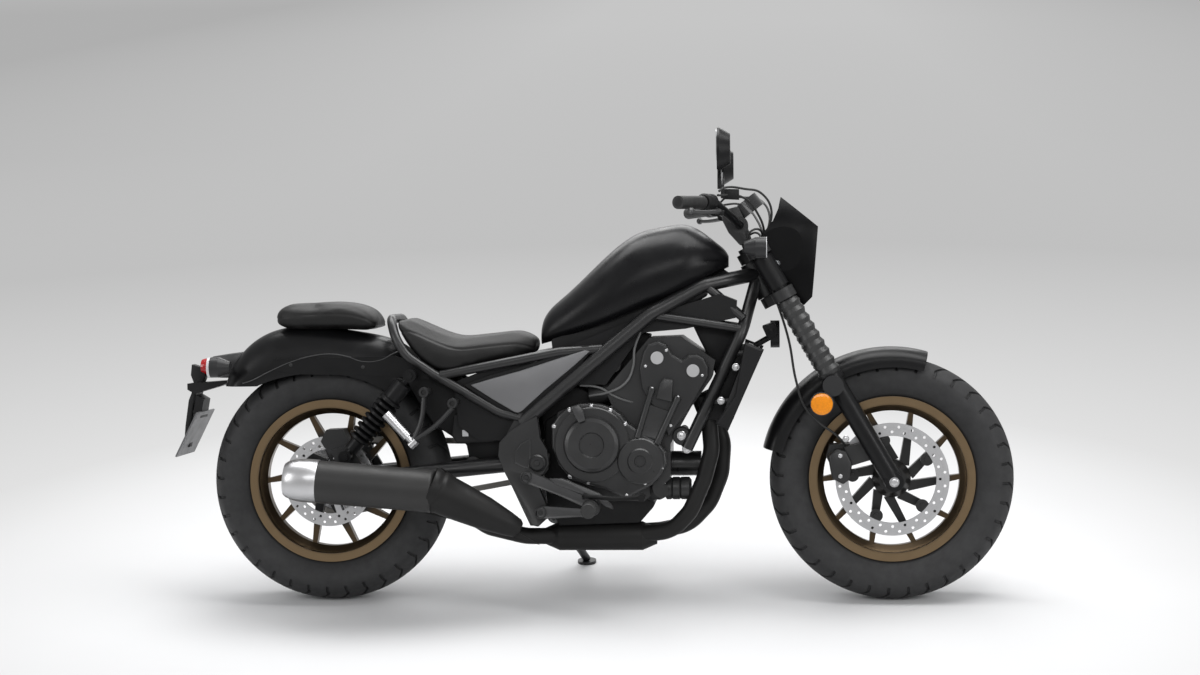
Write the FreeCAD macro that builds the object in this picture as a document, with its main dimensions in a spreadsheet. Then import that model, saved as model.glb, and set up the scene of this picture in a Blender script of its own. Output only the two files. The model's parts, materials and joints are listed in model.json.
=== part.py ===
import FreeCAD, Part
import Sketcher
import math
import os
from FreeCAD import Placement, Rotation, Vector

# Cruiser motorcycle, parked on its side stand.
# Millimetres. The machine is drawn upright, with x = 0 at the rear axle, +X forward,
# +Y to its left and z = 0 at the road, and every piece is then leaned onto the stand.

LENGTHS = {
    # Stance
    "wheelbase": 1490,
    "trail": 110,
    "frame_height": 900,
    "frame_half_width": 140,
    "origin_ahead": 699,
    "origin_beside": 194,
    "crown_radius": 76.9,
    "rest_gap": 0.3,
    "cut_overrun": 2,
    # Tyres, rims and hubs
    "front_tyre_radius": 320,
    "front_tyre_width": 130,
    "rear_tyre_radius": 321.7,
    "rear_tyre_width": 150,
    "bead_seat_radius": 203,
    "rim_lip_radius": 217,
    "rim_wall": 8,
    "rim_well_depth": 17,
    "front_rim_width": 92,
    "rear_rim_width": 108,
    "hub_radius": 50,
    "front_hub_width": 100,
    "rear_hub_width": 124,
    "spoke_depth": 26,
    "spoke_offset": 29,
    "spoke_hub_width": 26,
    "spoke_middle_width": 20,
    "spoke_rim_width": 12,
    # Axles
    "front_axle_radius": 10,
    "front_axle_bore_wall": 3,
    "front_axle_length": 270,
    "rear_axle_radius": 9,
    "rear_axle_length": 286,
    "axle_nut_radius": 16,
    "axle_nut_height": 11,
    # Brakes and final drive
    "front_disc_radius": 148,
    "front_disc_inner": 114,
    "disc_hole_radius": 3.8,
    "disc_lug_circle": 100,
    "disc_lug_radius": 17,
    "disc_bolt_radius": 6,
    "disc_post_radius": 8,
    "rear_disc_radius": 120,
    "rear_disc_inner": 86,
    "disc_thickness": 5,
    "disc_arm_width": 16,
    "caliper_depth": 60,
    "caliper_slot": 11,
    "chain_pitch": 15.875,
    "chain_offset": 89.5,
    "chain_width": 17,
    "chain_height": 15,
    "chain_room": 8,
    "sprocket_thickness": 7,
    # Swingarm
    "swingarm_tube_radius": 21,
    "swingarm_pivot_offset": 95,
    "swingarm_axle_offset": 118,
    "dropout_height": 54,
    "dropout_thickness": 14,
    "pivot_shaft_radius": 11,
    # Frame
    "main_tube_radius": 19,
    "down_tube_radius": 16,
    "rail_tube_radius": 12.5,
    "brace_tube_radius": 11,
    "head_tube_radius": 30,
    "head_tube_length": 100,
    "head_tube_bottom": 805,
    "pivot_plate_thickness": 16,
    "bend_radius": 90,
    # Fork
    "fork_pitch": 230,
    "fork_offset": 34,
    "fork_tube_radius": 20.5,
    "fork_cover_radius": 27,
    "gaiter_radius": 31,
    "gaiter_groove": 5,
    "gaiter_length": 226,
    "slider_radius": 25,
    "axle_lug_radius": 24,
    "axle_lug_width": 44,
    "clamp_thickness": 28,
    "clamp_spacing": 136,
    "clamp_wall": 11,
    "stem_radius": 15,
    "head_bearing_gap": 1,
    "gaiter_clearance": 3,
    "clamp_clearance": 6,
    "fork_cap_height": 10,
    "slider_collar": 16,
    # Controls
    "bar_radius": 11.1,
    "bar_bend": 60,
    "grip_radius": 16.5,
    "grip_length": 120,
    "switch_radius": 22,
    "switch_length": 46,
    "lever_radius": 6,
    "lever_reach": 58,
    "lever_bend": 24,
    "perch_length": 26,
    "perch_radius": 19,
    "mirror_boss_height": 30,
    "mirror_boss_radius": 9,
    "mirror_stem_rise": 40,
    "riser_offset": 52,
    "riser_radius": 15,
    "reservoir_size": 46,
    "reservoir_height": 28,
    "mirror_radius": 54,
    "mirror_depth": 26,
    "mirror_stem_radius": 5,
    "gauge_radius": 52,
    "gauge_depth": 38,
    "headlight_radius": 80,
    "headlight_depth": 74,
    "headlight_ear_radius": 8,
    "cowl_half_width": 96,
    "cowl_wall": 4,
    "indicator_radius": 27,
    "indicator_length": 58,
    # Fenders
    "front_fender_gap": 26,
    "front_fender_half_width": 78,
    "rear_fender_half_width": 96,
    "fender_wall": 3,
    # Tank and seats
    "tank_half_width": 138,
    "rider_seat_half_width": 140,
    "pillion_seat_half_width": 104,
    # Engine
    "crankcase_half_width": 112,
    "cylinder_half_width": 104,
    "engine_cover_depth": 34,
    "clutch_flange_radius": 98,
    "clutch_depth": 24,
    "crank_flange_radius": 60,
    "crank_depth": 16,
    "generator_radius": 58,
    "generator_depth": 20,
    "head_cover_depth": 38,
    "cover_round": 8,
    "head_plug_radius": 15.8,
    "head_plug_height": 5,
    "oil_pan_half_width": 76,
    "air_box_half_width": 104,
    "tray_half_width": 120,
    "side_panel_depth": 14,
    "side_panel_sink": 12,
    "oil_filter_radius": 33,
    "oil_filter_length": 78,
    # Radiator
    "radiator_half_width": 148,
    "radiator_guard_depth": 30,
    "radiator_depth": 30,
    "radiator_stay_radius": 8,
    # Exhaust
    "header_radius": 21.5,
    "pipe_wall": 1.6,
    "collector_radius": 38,
    "muffler_radius": 55,
    "muffler_cap_length": 46,
    "outlet_radius": 20,
    "pipe_cover_wall": 3,
    "pipe_cover_offset": 200,
    # Shock absorbers
    "shock_can_radius": 24,
    "shock_spring_radius": 31,
    "shock_wire_radius": 5.5,
    "shock_body_radius": 19,
    "shock_eye_radius": 17,
    "shock_eye_width": 26,
    "shock_bolt_radius": 9,
    "shock_bolt_head": 6,
    "shock_offset": 152,
    # Foot controls and stand
    "peg_radius": 16,
    "peg_length": 92,
    "bracket_thickness": 9,
    "foot_bracket_offset": 176,
    "pedal_rod_radius": 6,
    "pedal_bend": 18,
    "pedal_pad_width": 46,
    "pedal_pad_radius": 9,
    "stand_rod_radius": 11,
    "stand_foot_radius": 26,
    "stand_foot_thickness": 8,
    "stand_eye_radius": 17,
    "stand_bolt_radius": 6,
    "stand_lug_thickness": 10,
    "stand_arm_radius": 10,
    "pillion_peg_radius": 13,
    "pillion_peg_length": 104,
    "pillion_knuckle_radius": 11,
    "pillion_pin_radius": 4,
    "pillion_ear_thickness": 6,
    "pillion_base_gap": 3,
    # Small gear
    "cable_radius": 3.5,
    "hose_radius": 4,
    "reflector_radius": 27,
    "reflector_depth": 9,
    "horn_radius": 36,
    "horn_depth": 24,
    "horn_stay_radius": 8,
    "plate_half_width": 90,
    "plate_thickness": 4,
    "plate_bracket_half_width": 34,
    "fender_rail_thickness": 9,
    "indicator_stem_radius": 8,
    "boss_radius": 11,
    "tail_light_half_width": 62,
}

ANGLES = {
    "lean": 10,
    "rake": 28,
    "first_spoke": 46.2,
    "front_fender_start": 74,
    "front_fender_span": 92,
}

COUNTS = {
    "spokes": 10,
    "disc_arms": 5,
    "disc_holes": 24,
    "drive_teeth": 15,
    "wheel_teeth": 40,
    "gaiter_ribs": 9,
    "spring_turns": 9,
}

doc = FreeCAD.newDocument("cruiser_motorcycle")


class Size:
    """A number together with the sheet expression that gives it."""

    def __init__(self, number, text):
        self.number = number
        self.text = text

    def __float__(self):
        return float(self.number)

    def __neg__(self):
        return Size(-self.number, f"(0 - {self.text})")

    def __add__(self, other):
        other = as_size(other)
        return Size(self.number + other.number, f"({self.text} + {other.text})")

    def __radd__(self, other):
        return as_size(other) + self

    def __sub__(self, other):
        other = as_size(other)
        return Size(self.number - other.number, f"({self.text} - {other.text})")

    def __rsub__(self, other):
        return as_size(other) - self

    def __mul__(self, other):
        other = as_size(other)
        return Size(self.number * other.number, f"({self.text} * {other.text})")

    def __rmul__(self, other):
        return as_size(other) * self

    def __truediv__(self, other):
        other = as_size(other)
        return Size(self.number / other.number, f"({self.text} / {other.text})")


def as_size(value):
    """A plain number as a Size, so that sums may mix the two."""
    if isinstance(value, Size):
        return value
    return Size(float(value), f"{float(value):.6f}")


class Dimensions:
    """The named sizes of one sheet, as attributes."""

    def __init__(self, title, table):
        sheet = doc.addObject("Spreadsheet::Sheet", title)
        for row, (alias, number) in enumerate(table.items(), start=1):
            sheet.set(f"A{row}", alias)
            sheet.set(f"B{row}", str(number))
            sheet.setAlias(f"B{row}", alias)
        doc.recompute()
        for alias in table:
            setattr(self, alias, Size(float(sheet.get(alias)), f"{title}.{alias}"))


L = Dimensions("Lengths", LENGTHS)
A = Dimensions("Angles", ANGLES)
N = Dimensions("Counts", COUNTS)

UP = Vector(0, 0, 1)
FORWARD = Vector(1, 0, 0)
LEFT = Vector(0, 1, 0)
BOTH_SIDES = (1, -1)


def vector(x, y, z):
    """A vector of named sizes."""
    return Vector(float(x), float(y), float(z))


def steering_axis_x(height):
    """Where the steering axis is at a height."""
    return float(L.wheelbase + L.trail) - float(height) * math.tan(math.radians(A.rake.number))


def parked_placement():
    """The lean onto the stand, with the origin under the middle of the machine."""
    lean = math.radians(A.lean.number)
    lift = float(L.crown_radius) * (1 - math.cos(lean))
    corner = vector(-L.origin_ahead, -L.origin_beside, lift)
    return Placement(corner, Rotation(FORWARD, -A.lean.number))


# Frames of reference. In the side frame X is forward, Y is up and Z is to the right.
UPRIGHT = parked_placement()
SIDE_TURN = Rotation(FORWARD, 90)
SIDE = UPRIGHT.multiply(Placement(Vector(), SIDE_TURN))
REAR_WHEEL = UPRIGHT.multiply(Placement(vector(0, 0, L.rear_tyre_radius), SIDE_TURN))
FRONT_WHEEL = UPRIGHT.multiply(Placement(vector(L.wheelbase, 0, L.front_tyre_radius), SIDE_TURN))
FRONT_AXLE = vector(L.wheelbase, 0, L.front_tyre_radius)
REAR_AXLE = vector(0, 0, L.rear_tyre_radius)


def steering_direction():
    """The steering axis, pointing up."""
    rake = math.radians(A.rake.number)
    return Vector(-math.sin(rake), 0, math.cos(rake))


def fork_clamp_point():
    """The middle between the fork tubes at the lower end of the head tube."""
    foot = Vector(steering_axis_x(L.head_tube_bottom), 0, float(L.head_tube_bottom))
    across = steering_direction().cross(LEFT) * -1
    return foot + across * float(L.fork_offset)


FORK_LINE = fork_clamp_point() - FRONT_AXLE
FORK_ANGLE = math.degrees(math.atan2(-FORK_LINE.x, FORK_LINE.z))
FORK_FRAME = Placement(FRONT_AXLE, Rotation(LEFT, -FORK_ANGLE))
FORK = UPRIGHT.multiply(FORK_FRAME)
D = Dimensions("Derived", {"lower_clamp_height": round(FORK_LINE.Length, 3)})
UPPER_CLAMP_HEIGHT = D.lower_clamp_height + L.clamp_spacing


def spot(x_share, y_share, z_share):
    """A place in the upright machine, in shares of its wheelbase, half width and height."""
    return vector(L.wheelbase * x_share, L.frame_half_width * y_share, L.frame_height * z_share)


def spots(shares, side=1):
    """A route of such places, mirrored to the right with side -1."""
    return [spot(x, y * side, z) for x, y, z in shares]


def outline(shares):
    """Side-view outline points in shares of wheelbase and height; a third entry marks an arc's middle."""
    return [(L.wheelbase * point[0], L.frame_height * point[1]) + tuple(point[2:]) for point in shares]


def bind(thing, path, size):
    """Tie one property to its expression."""
    thing.setExpression(path, as_size(size).text)


def new_body(label, place):
    """An empty body with its label and placement."""
    body = doc.addObject("PartDesign::Body", label)
    body.Label = label
    body.Placement = place
    return body


def new_sketch(body, role, start=0, at=(0, 0)):
    """A sketch on one of the body's planes, moved along it by at and off it by start."""
    sketch = body.newObject("Sketcher::SketchObject", "Sketch")
    plane = [feature for feature in body.Origin.OriginFeatures if feature.Role == role][0]
    sketch.AttachmentSupport = (plane, [""])
    sketch.MapMode = "FlatFace"
    sketch.AttachmentOffset = Placement(vector(at[0], at[1], start), Rotation())
    for axis, size in zip("xyz", (at[0], at[1], start)):
        bind(sketch, f"AttachmentOffset.Base.{axis}", size)
    return sketch


def flat(point):
    """A sketch point."""
    return vector(point[0], point[1], 0)


def pins(sketch, edge, vertex, point):
    """Constraints that hold a vertex at its place, each with its expression."""
    held = []
    for kind, size in zip(("DistanceX", "DistanceY"), point[:2]):
        held.append((Sketcher.Constraint(kind, -1, 1, edge, vertex, float(size)), as_size(size).text))
    return held


def draw_loop(sketch, points):
    """A closed outline of lines, and of arcs through the points that have a third entry."""
    first = [index for index, point in enumerate(points) if len(point) == 2][0]
    ring = points[first:] + points[:first]
    edges = []
    index = 0
    while index < len(ring):
        begin = ring[index]
        middle = ring[index + 1] if index + 1 < len(ring) and len(ring[index + 1]) == 3 else None
        step = 2 if middle else 1
        end = ring[(index + step) % len(ring)]
        if middle:
            edge = sketch.addGeometry(Part.Arc(flat(begin), flat(middle), flat(end)), False)
        else:
            edge = sketch.addGeometry(Part.LineSegment(flat(begin), flat(end)), False)
        to_first = sketch.getPoint(edge, 1).distanceToPoint(flat(begin))
        to_second = sketch.getPoint(edge, 2).distanceToPoint(flat(begin))
        start_vertex = 1 if to_first < to_second else 2
        edges.append((edge, start_vertex, begin, middle))
        index += step
    held = []
    for position, (edge, start_vertex, begin, middle) in enumerate(edges):
        following = edges[(position + 1) % len(edges)]
        joined = Sketcher.Constraint("Coincident", edge, 3 - start_vertex, following[0], following[1])
        held.append((joined, None))
        held += pins(sketch, edge, start_vertex, begin)
        if middle:
            mark = sketch.addGeometry(Part.Point(flat(middle)), True)
            held += pins(sketch, mark, 1, middle)
            held.append((Sketcher.Constraint("PointOnObject", mark, 1, edge), None))
    constrain(sketch, held)


def draw_circle(sketch, centre, radius):
    """A circle with its centre and radius held."""
    edge = sketch.addGeometry(Part.Circle(flat(centre), UP, float(radius)), False)
    held = pins(sketch, edge, 3, centre)
    held.append((Sketcher.Constraint("Radius", edge, float(radius)), as_size(radius).text))
    constrain(sketch, held)


def constrain(sketch, held):
    """Add the constraints and bind those that have an expression."""
    first = sketch.ConstraintCount
    sketch.addConstraint([constraint for constraint, text in held])
    for number, (constraint, text) in enumerate(held, start=first):
        if text:
            sketch.setExpression(f"Constraints[{number}]", text)


def extrude(body, sketch, depth, cut):
    """Pad or pocket a sketch along its normal."""
    feature = body.newObject("PartDesign::Pocket" if cut else "PartDesign::Pad", "Pocket" if cut else "Pad")
    feature.Profile = (sketch, [""])
    feature.Length = float(depth)
    bind(feature, "Length", depth)
    feature.Reversed = cut
    return feature


def pad(body, points, start, depth, role="XY_Plane", cut=False):
    """A prism on an outline, from start to start + depth along the plane's normal."""
    sketch = new_sketch(body, role, start)
    draw_loop(sketch, points)
    return extrude(body, sketch, depth, cut)


def round_pad(body, centre, radius, start, depth, bore=None, role="XY_Plane", cut=False):
    """A round prism, hollow where it has a bore."""
    sketch = new_sketch(body, role, start)
    draw_circle(sketch, centre, radius)
    if bore is not None:
        draw_circle(sketch, centre, bore)
    return extrude(body, sketch, depth, cut)


def turn(body, points, at=(0, 0), cut=False):
    """Revolve an outline of (radius, height) points about the body's own Z direction."""
    sketch = new_sketch(body, "XZ_Plane", -at[1], (at[0], 0))
    draw_loop(sketch, points)
    kind = "PartDesign::Groove" if cut else "PartDesign::Revolution"
    feature = body.newObject(kind, "Turned")
    feature.Profile = (sketch, [""])
    feature.ReferenceAxis = (sketch, ["V_Axis"])
    return feature


def polar(body, features, count):
    """Repeat features round the body's Z axis."""
    pattern = body.newObject("PartDesign::PolarPattern", "Pattern")
    pattern.Originals = features
    axis = [feature for feature in body.Origin.OriginFeatures if feature.Role == "Z_Axis"][0]
    pattern.Axis = (axis, [""])
    bind(pattern, "Occurrences", count)
    body.Tip = pattern
    return pattern


def soften(body, feature, level, radius):
    """Round the edges of the face that lies at one height of the body."""
    doc.recompute()
    near = float(L.rest_gap)
    names = []
    for number, edge in enumerate(feature.Shape.Edges, start=1):
        box = edge.BoundBox
        if abs(box.ZMin - float(level)) < near and abs(box.ZMax - float(level)) < near:
            names.append(f"Edge{number}")
    fillet = body.newObject("PartDesign::Fillet", "Round")
    fillet.Base = (feature, names)
    fillet.Radius = float(radius)
    bind(fillet, "Radius", radius)
    return fillet


ARC_RUN_SHARE = 0.45


def route(points, bend):
    """A wire of straight runs joined by tangent arcs."""
    edges = []
    last = points[0]
    for before, corner, after in zip(points, points[1:], points[2:]):
        inward = (before - corner).normalize()
        outward = (after - corner).normalize()
        half = inward.getAngle(outward) / 2
        runs = min((before - corner).Length, (after - corner).Length)
        reach = min(float(bend) / math.tan(half), runs * ARC_RUN_SHARE)
        radius = reach * math.tan(half)
        bisector = (inward + outward).normalize()
        middle = corner + bisector * (radius / math.sin(half) - radius)
        entry = corner + inward * reach
        leave = corner + outward * reach
        edges.append(Part.LineSegment(last, entry).toShape())
        edges.append(Part.Arc(entry, middle, leave).toShape())
        last = leave
    edges.append(Part.LineSegment(last, points[-1]).toShape())
    return Part.Wire(edges)


def tube(points, radius, bend=None):
    """A round bar along a route."""
    bend = L.bend_radius if bend is None else bend
    wire = route(points, bend)
    direction = points[1] - points[0]
    ring = Part.Wire(Part.Circle(points[0], direction, float(radius)).toShape())
    return wire.makePipeShell([ring], True, False)


def rod(start, end, radius):
    """A straight round bar between two points."""
    return Part.makeCylinder(float(radius), (end - start).Length, start, end - start)


def joined(shapes):
    """One solid from several that meet."""
    whole = shapes[0].multiFuse(shapes[1:])
    merged = whole.removeSplitter()
    return merged if merged.isValid() else whole


def feature(label, shape, place=UPRIGHT):
    """A sub-part whose shape is worked out here."""
    item = doc.addObject("Part::Feature", label)
    item.Label = label
    item.Shape = shape
    item.Placement = place.multiply(item.Placement)
    return item


def fused(label, items):
    """One sub-part from several that meet."""
    whole = doc.addObject("Part::MultiFuse", label)
    whole.Label = label
    whole.Shapes = items
    whole.Refine = True
    return whole


def gathered(label, items):
    """One sub-part of like pieces that stand apart."""
    whole = doc.addObject("Part::Compound", label)
    whole.Label = label
    whole.Links = items
    return whole


def cleared(label, base, tools):
    """A sub-part with room cut for its neighbours."""
    for number, tool in enumerate(tools):
        cut = doc.addObject("Part::Cut", f"{label}_cut_{number}")
        cut.Base = base
        cut.Tool = tool
        base = cut
    base.Label = label
    return base


def smooth_section(x, rows):
    """A closed cross-section in a plane across the machine, mirrored, with a flat foot.

    rows are (y, z) from the foot's edge, round the side, to the crown at y = 0.
    """
    left = [Vector(x, y, z) for y, z in rows]
    right = [Vector(x, -y, z) for y, z in reversed(rows[:-1])]
    curve = Part.BSplineCurve()
    curve.interpolate(left + right)
    foot = Part.LineSegment(right[-1], left[0])
    return Part.Wire([curve.toShape(), foot.toShape()])


def skin(sections):
    """A smooth solid through closed sections."""
    return Part.makeLoft(sections, True, False)


def crowned_solid(stations, half_width, shares):
    """A loft along the machine; stations are shares (x, half width, foot height, crown height)."""
    sections = []
    for x_share, wide_share, foot_share, crown_share in stations:
        x = float(L.wheelbase * x_share)
        wide = float(half_width * wide_share)
        foot = float(L.frame_height * foot_share)
        rise = float(L.frame_height * crown_share) - foot
        rows = [(wide * across, foot + rise * up) for across, up in shares]
        sections.append(smooth_section(x, rows))
    return skin(sections)


# Wheels

TYRE_OUTER_SHARES = [(0.60, 1.0), (0.84, 0.82), (0.94, 0.48)]
TYRE_CAVITY_SHARES = (0.86, 0.62)
BEAD_DEPTH_SHARE = 2.0


def make_tyre(label, place, radius, width, rim_width):
    """A tyre whose beads sit between the rim's lips, flat where it stands when the machine leans."""
    seat = L.bead_seat_radius
    height = radius - seat
    half = width / 2
    bead_outer = rim_width / 2 - L.rim_wall
    bead_inner = bead_outer - L.rim_wall * BEAD_DEPTH_SHARE
    tread = L.crown_radius * math.tan(math.radians(A.lean.number) / 2)
    up, out = TYRE_CAVITY_SHARES
    side = [(seat + height * up, half * out), (seat, bead_inner), (seat, bead_outer), (L.rim_lip_radius, bead_outer)]
    side += [(seat + height * rise, half * across) for rise, across in TYRE_OUTER_SHARES]
    side.append((radius, tread))
    body = new_body(label, place)
    turn(body, side + [(reach, -across) for reach, across in reversed(side)])
    return body


SPOKE_FOOT_SHARE = 0.75
SPOKE_MIDDLE_SHARE = 0.6
HUB_NECK_SHARE = 0.7


def make_wheel(label, place, rim_width, hub_width, bore):
    """A cast rim with a drop centre, a hub and straight spokes that pass beside the axle."""
    half = rim_width / 2
    wall = L.rim_wall
    seat = L.bead_seat_radius
    well = seat - L.rim_well_depth
    body = new_body(label, place)
    lip = [(seat, half - wall), (L.rim_lip_radius, half - wall), (L.rim_lip_radius, half)]
    section = [(well, half / 4), (seat, half / 2)] + lip
    section += [(seat - wall, half), (seat - wall, half / 2 + wall / 2), (well - wall, half / 4)]
    mirrored = [(radius, -height) for radius, height in reversed(section)]
    turn(body, section + mirrored)
    neck = L.hub_radius * HUB_NECK_SHARE
    turn(body, [(bore, -hub_width / 2), (bore, hub_width / 2), (neck, hub_width / 2),
                (L.hub_radius, hub_width / 4), (L.hub_radius, -hub_width / 4), (neck, -hub_width / 2)])
    spoke = pad(body, spoke_outline(well - wall / 2), -L.spoke_depth / 2, L.spoke_depth)
    polar(body, [spoke], N.spokes)
    return body


def spoke_place(along, aside):
    """A point of the first spoke, along its middle line and to one side of it."""
    heading = math.radians(A.first_spoke.number)
    across = aside - L.spoke_offset
    x = along * math.cos(heading) - across * math.sin(heading)
    y = along * math.sin(heading) + across * math.cos(heading)
    return x, y


def spoke_outline(reach):
    """A spoke that narrows from the hub to its middle and on to the rim."""
    stations = [(L.hub_radius * SPOKE_FOOT_SHARE, L.spoke_hub_width / 2),
                (reach * SPOKE_MIDDLE_SHARE, L.spoke_middle_width / 2), (reach, L.spoke_rim_width / 2)]
    left = [spoke_place(along, half) for along, half in stations]
    right = [spoke_place(along, -half) for along, half in reversed(stations)]
    return left + right


HOLE_ROWS_SHARES = (0.3, 0.7)


def drill(body, radius, inner, offset):
    """Two rows of holes round a brake ring, half a step apart."""
    step = math.pi / N.disc_holes.number
    sketch = new_sketch(body, "XY_Plane", offset - L.cut_overrun)
    for row, share in enumerate(HOLE_ROWS_SHARES):
        reach = inner + (radius - inner) * share
        draw_circle(sketch, (reach * math.cos(step * row), reach * math.sin(step * row)), L.disc_hole_radius)
    holes = extrude(body, sketch, L.disc_thickness + L.cut_overrun * 2, True)
    polar(body, [holes], N.disc_holes)


def make_disc(label, place, radius, inner, offset, seat):
    """A brake ring held by arms on a centre ring that bolts to the hub's end."""
    body = new_body(label, place)
    round_pad(body, (0, 0), radius, offset, L.disc_thickness, bore=inner)
    neck = L.hub_radius * HUB_NECK_SHARE
    round_pad(body, (0, 0), neck, offset, L.disc_thickness, bore=seat)
    half = L.disc_arm_width / 2
    foot = neck - L.cut_overrun
    tip = inner + L.cut_overrun
    arm = pad(body, [(foot, -half), (foot, half), (tip, half), (tip, -half)], offset, L.disc_thickness)
    polar(body, [arm], N.disc_arms)
    drill(body, radius, inner, offset)
    return body


def lug_place():
    """Where the front disc's first lug sits, on the middle line of the first spoke."""
    return spoke_place(L.disc_lug_circle, as_size(0))


def make_front_disc(label, place, radius, inner, offset):
    """A brake ring with lugs bolted to posts on every other spoke."""
    body = new_body(label, place)
    round_pad(body, (0, 0), radius, offset, L.disc_thickness, bore=inner)
    lug = round_pad(body, lug_place(), L.disc_lug_radius, offset, L.disc_thickness)
    bolt = round_pad(body, lug_place(), L.disc_bolt_radius, offset, L.disc_thickness * 2)
    polar(body, [lug, bolt], N.disc_arms)
    drill(body, radius, inner, offset)
    return body


front_tyre = make_tyre("front_tyre", FRONT_WHEEL, L.front_tyre_radius, L.front_tyre_width, L.front_rim_width)
rear_tyre = make_tyre("rear_tyre", REAR_WHEEL, L.rear_tyre_radius, L.rear_tyre_width, L.rear_rim_width)
front_wheel = make_wheel("front_wheel", FRONT_WHEEL, L.front_rim_width, L.front_hub_width,
                         L.front_axle_radius + L.front_axle_bore_wall + L.rest_gap)
rear_wheel = make_wheel("rear_wheel", REAR_WHEEL, L.rear_rim_width, L.rear_hub_width,
                        L.rear_axle_radius + L.rest_gap)
disc_post = round_pad(front_wheel, lug_place(), L.disc_post_radius, as_size(0), L.front_hub_width / 2)
polar(front_wheel, [disc_post], N.disc_arms)
front_disc = make_front_disc("front_disc", FRONT_WHEEL, L.front_disc_radius, L.front_disc_inner,
                             L.front_hub_width / 2)
rear_disc = make_disc("rear_disc", REAR_WHEEL, L.rear_disc_radius, L.rear_disc_inner,
                      L.rear_hub_width / 2, L.hub_radius / 2)


# Final drive

def pitch_radius(teeth):
    """Radius of the pins' circle on a sprocket."""
    return float(L.chain_pitch) / (2 * math.sin(math.pi / teeth.number))


DRIVE_CENTRE = spot(0.4295, 0, 0.4133)
WHEEL_PITCH = pitch_radius(N.wheel_teeth)
DRIVE_PITCH = pitch_radius(N.drive_teeth)


def chain_loop(offset):
    """The chain's path round both sprockets, moved outwards by an offset."""
    rear_radius = WHEEL_PITCH + offset
    front_radius = DRIVE_PITCH + offset
    line = DRIVE_CENTRE - REAR_AXLE
    heading = math.atan2(line.z, line.x)
    open_angle = math.acos((rear_radius - front_radius) / line.Length)

    def rim(centre, radius, angle):
        return centre + Vector(math.cos(angle), 0, math.sin(angle)) * radius

    upper = heading + open_angle
    lower = heading - open_angle
    rear_top = rim(REAR_AXLE, rear_radius, upper)
    rear_low = rim(REAR_AXLE, rear_radius, lower)
    front_top = rim(DRIVE_CENTRE, front_radius, upper)
    front_low = rim(DRIVE_CENTRE, front_radius, lower)
    rear_back = rim(REAR_AXLE, rear_radius, heading + math.pi)
    front_nose = rim(DRIVE_CENTRE, front_radius, heading)
    return Part.Wire([Part.LineSegment(rear_top, front_top).toShape(),
                      Part.Arc(front_top, front_nose, front_low).toShape(),
                      Part.LineSegment(front_low, rear_low).toShape(),
                      Part.Arc(rear_low, rear_back, rear_top).toShape()])


def make_chain():
    """The chain as one closed band round the two sprockets."""
    half = float(L.chain_height / 2)
    outer = Part.Face(chain_loop(half))
    inner = Part.Face(chain_loop(-half))
    width = float(L.chain_width)
    band = outer.cut(inner).extrude(LEFT * width)
    band.translate(LEFT * (float(L.chain_offset) - width / 2))
    return band


chain = feature("chain", make_chain())

rear_sprocket = new_body("rear_sprocket", REAR_WHEEL)
sprocket_radius = as_size(WHEEL_PITCH) - L.chain_height / 2 - L.rest_gap
round_pad(rear_sprocket, (0, 0), sprocket_radius, -L.chain_offset - L.sprocket_thickness / 2,
          L.sprocket_thickness, bore=L.hub_radius / 2)
round_pad(rear_sprocket, (0, 0), L.hub_radius, -L.chain_offset, L.chain_offset - L.rear_hub_width / 2,
          bore=L.hub_radius / 2)


# Axles

front_axle = new_body("front_axle", FRONT_WHEEL)
round_pad(front_axle, (0, 0), L.front_axle_radius + L.front_axle_bore_wall, -L.front_axle_length / 2,
          L.front_axle_length, bore=L.front_axle_radius)
rear_axle = new_body("rear_axle", REAR_WHEEL)
round_pad(rear_axle, (0, 0), L.rear_axle_radius, -L.rear_axle_length / 2, L.rear_axle_length)
for start in (-L.rear_axle_length / 2, L.rear_axle_length / 2 - L.axle_nut_height):
    round_pad(rear_axle, (0, 0), L.axle_nut_radius, start, L.axle_nut_height)


# Frame

MAIN_TUBE_SHARES = [(0.765, 0.09, 0.958), (0.671, 0.61, 0.926), (0.580, 0.86, 0.845), (0.470, 0.92, 0.694),
                    (0.352, 0.92, 0.530)]
DOWN_TUBE_SHARES = [(0.7655, 0.09, 0.9445), (0.740, 0.71, 0.794), (0.641, 0.79, 0.453)]
TRELLIS_SHARES = [(0.583, 0.84, 0.840), (0.737, 0.71, 0.799)]
BRACE_SHARES = [(0.679, 0.60, 0.920), (0.742, 0.70, 0.828)]
PIVOT_PLATE_SHARES = [(0.346, 0.560), (0.315, 0.467), (0.320, 0.397), (0.366, 0.233), (0.377, 0.233),
                      (0.362, 0.323), (0.398, 0.396), (0.401, 0.440), (0.386, 0.463), (0.379, 0.483),
                      (0.372, 0.560)]
SEAT_LOOP_SHARES = [(0.352, 0.92, 0.545), (0.312, 0.92, 0.563), (0.197, 0.92, 0.676), (0.150, 0.92, 0.728),
                    (0.130, 0.88, 0.779), (0.118, 0.66, 0.836)]
SEAT_RAIL_SHARES = [(0.210, 0.92, 0.672), (0.421, 0.91, 0.737), (0.495, 0.90, 0.745)]
PIVOT_POINT = outline([(0.3812, 0.4178)])[0]
HEAD_FOOT = Vector(steering_axis_x(L.head_tube_bottom), 0, float(L.head_tube_bottom))
HEAD_TOP = HEAD_FOOT + steering_direction() * float(L.head_tube_length)


def make_steering_head():
    """The head tube, bored for the stem."""
    shell = rod(HEAD_FOOT, HEAD_TOP, L.head_tube_radius)
    overrun = steering_direction() * float(L.cut_overrun)
    return shell.cut(rod(HEAD_FOOT - overrun, HEAD_TOP + overrun, L.stem_radius + L.rest_gap))


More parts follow.
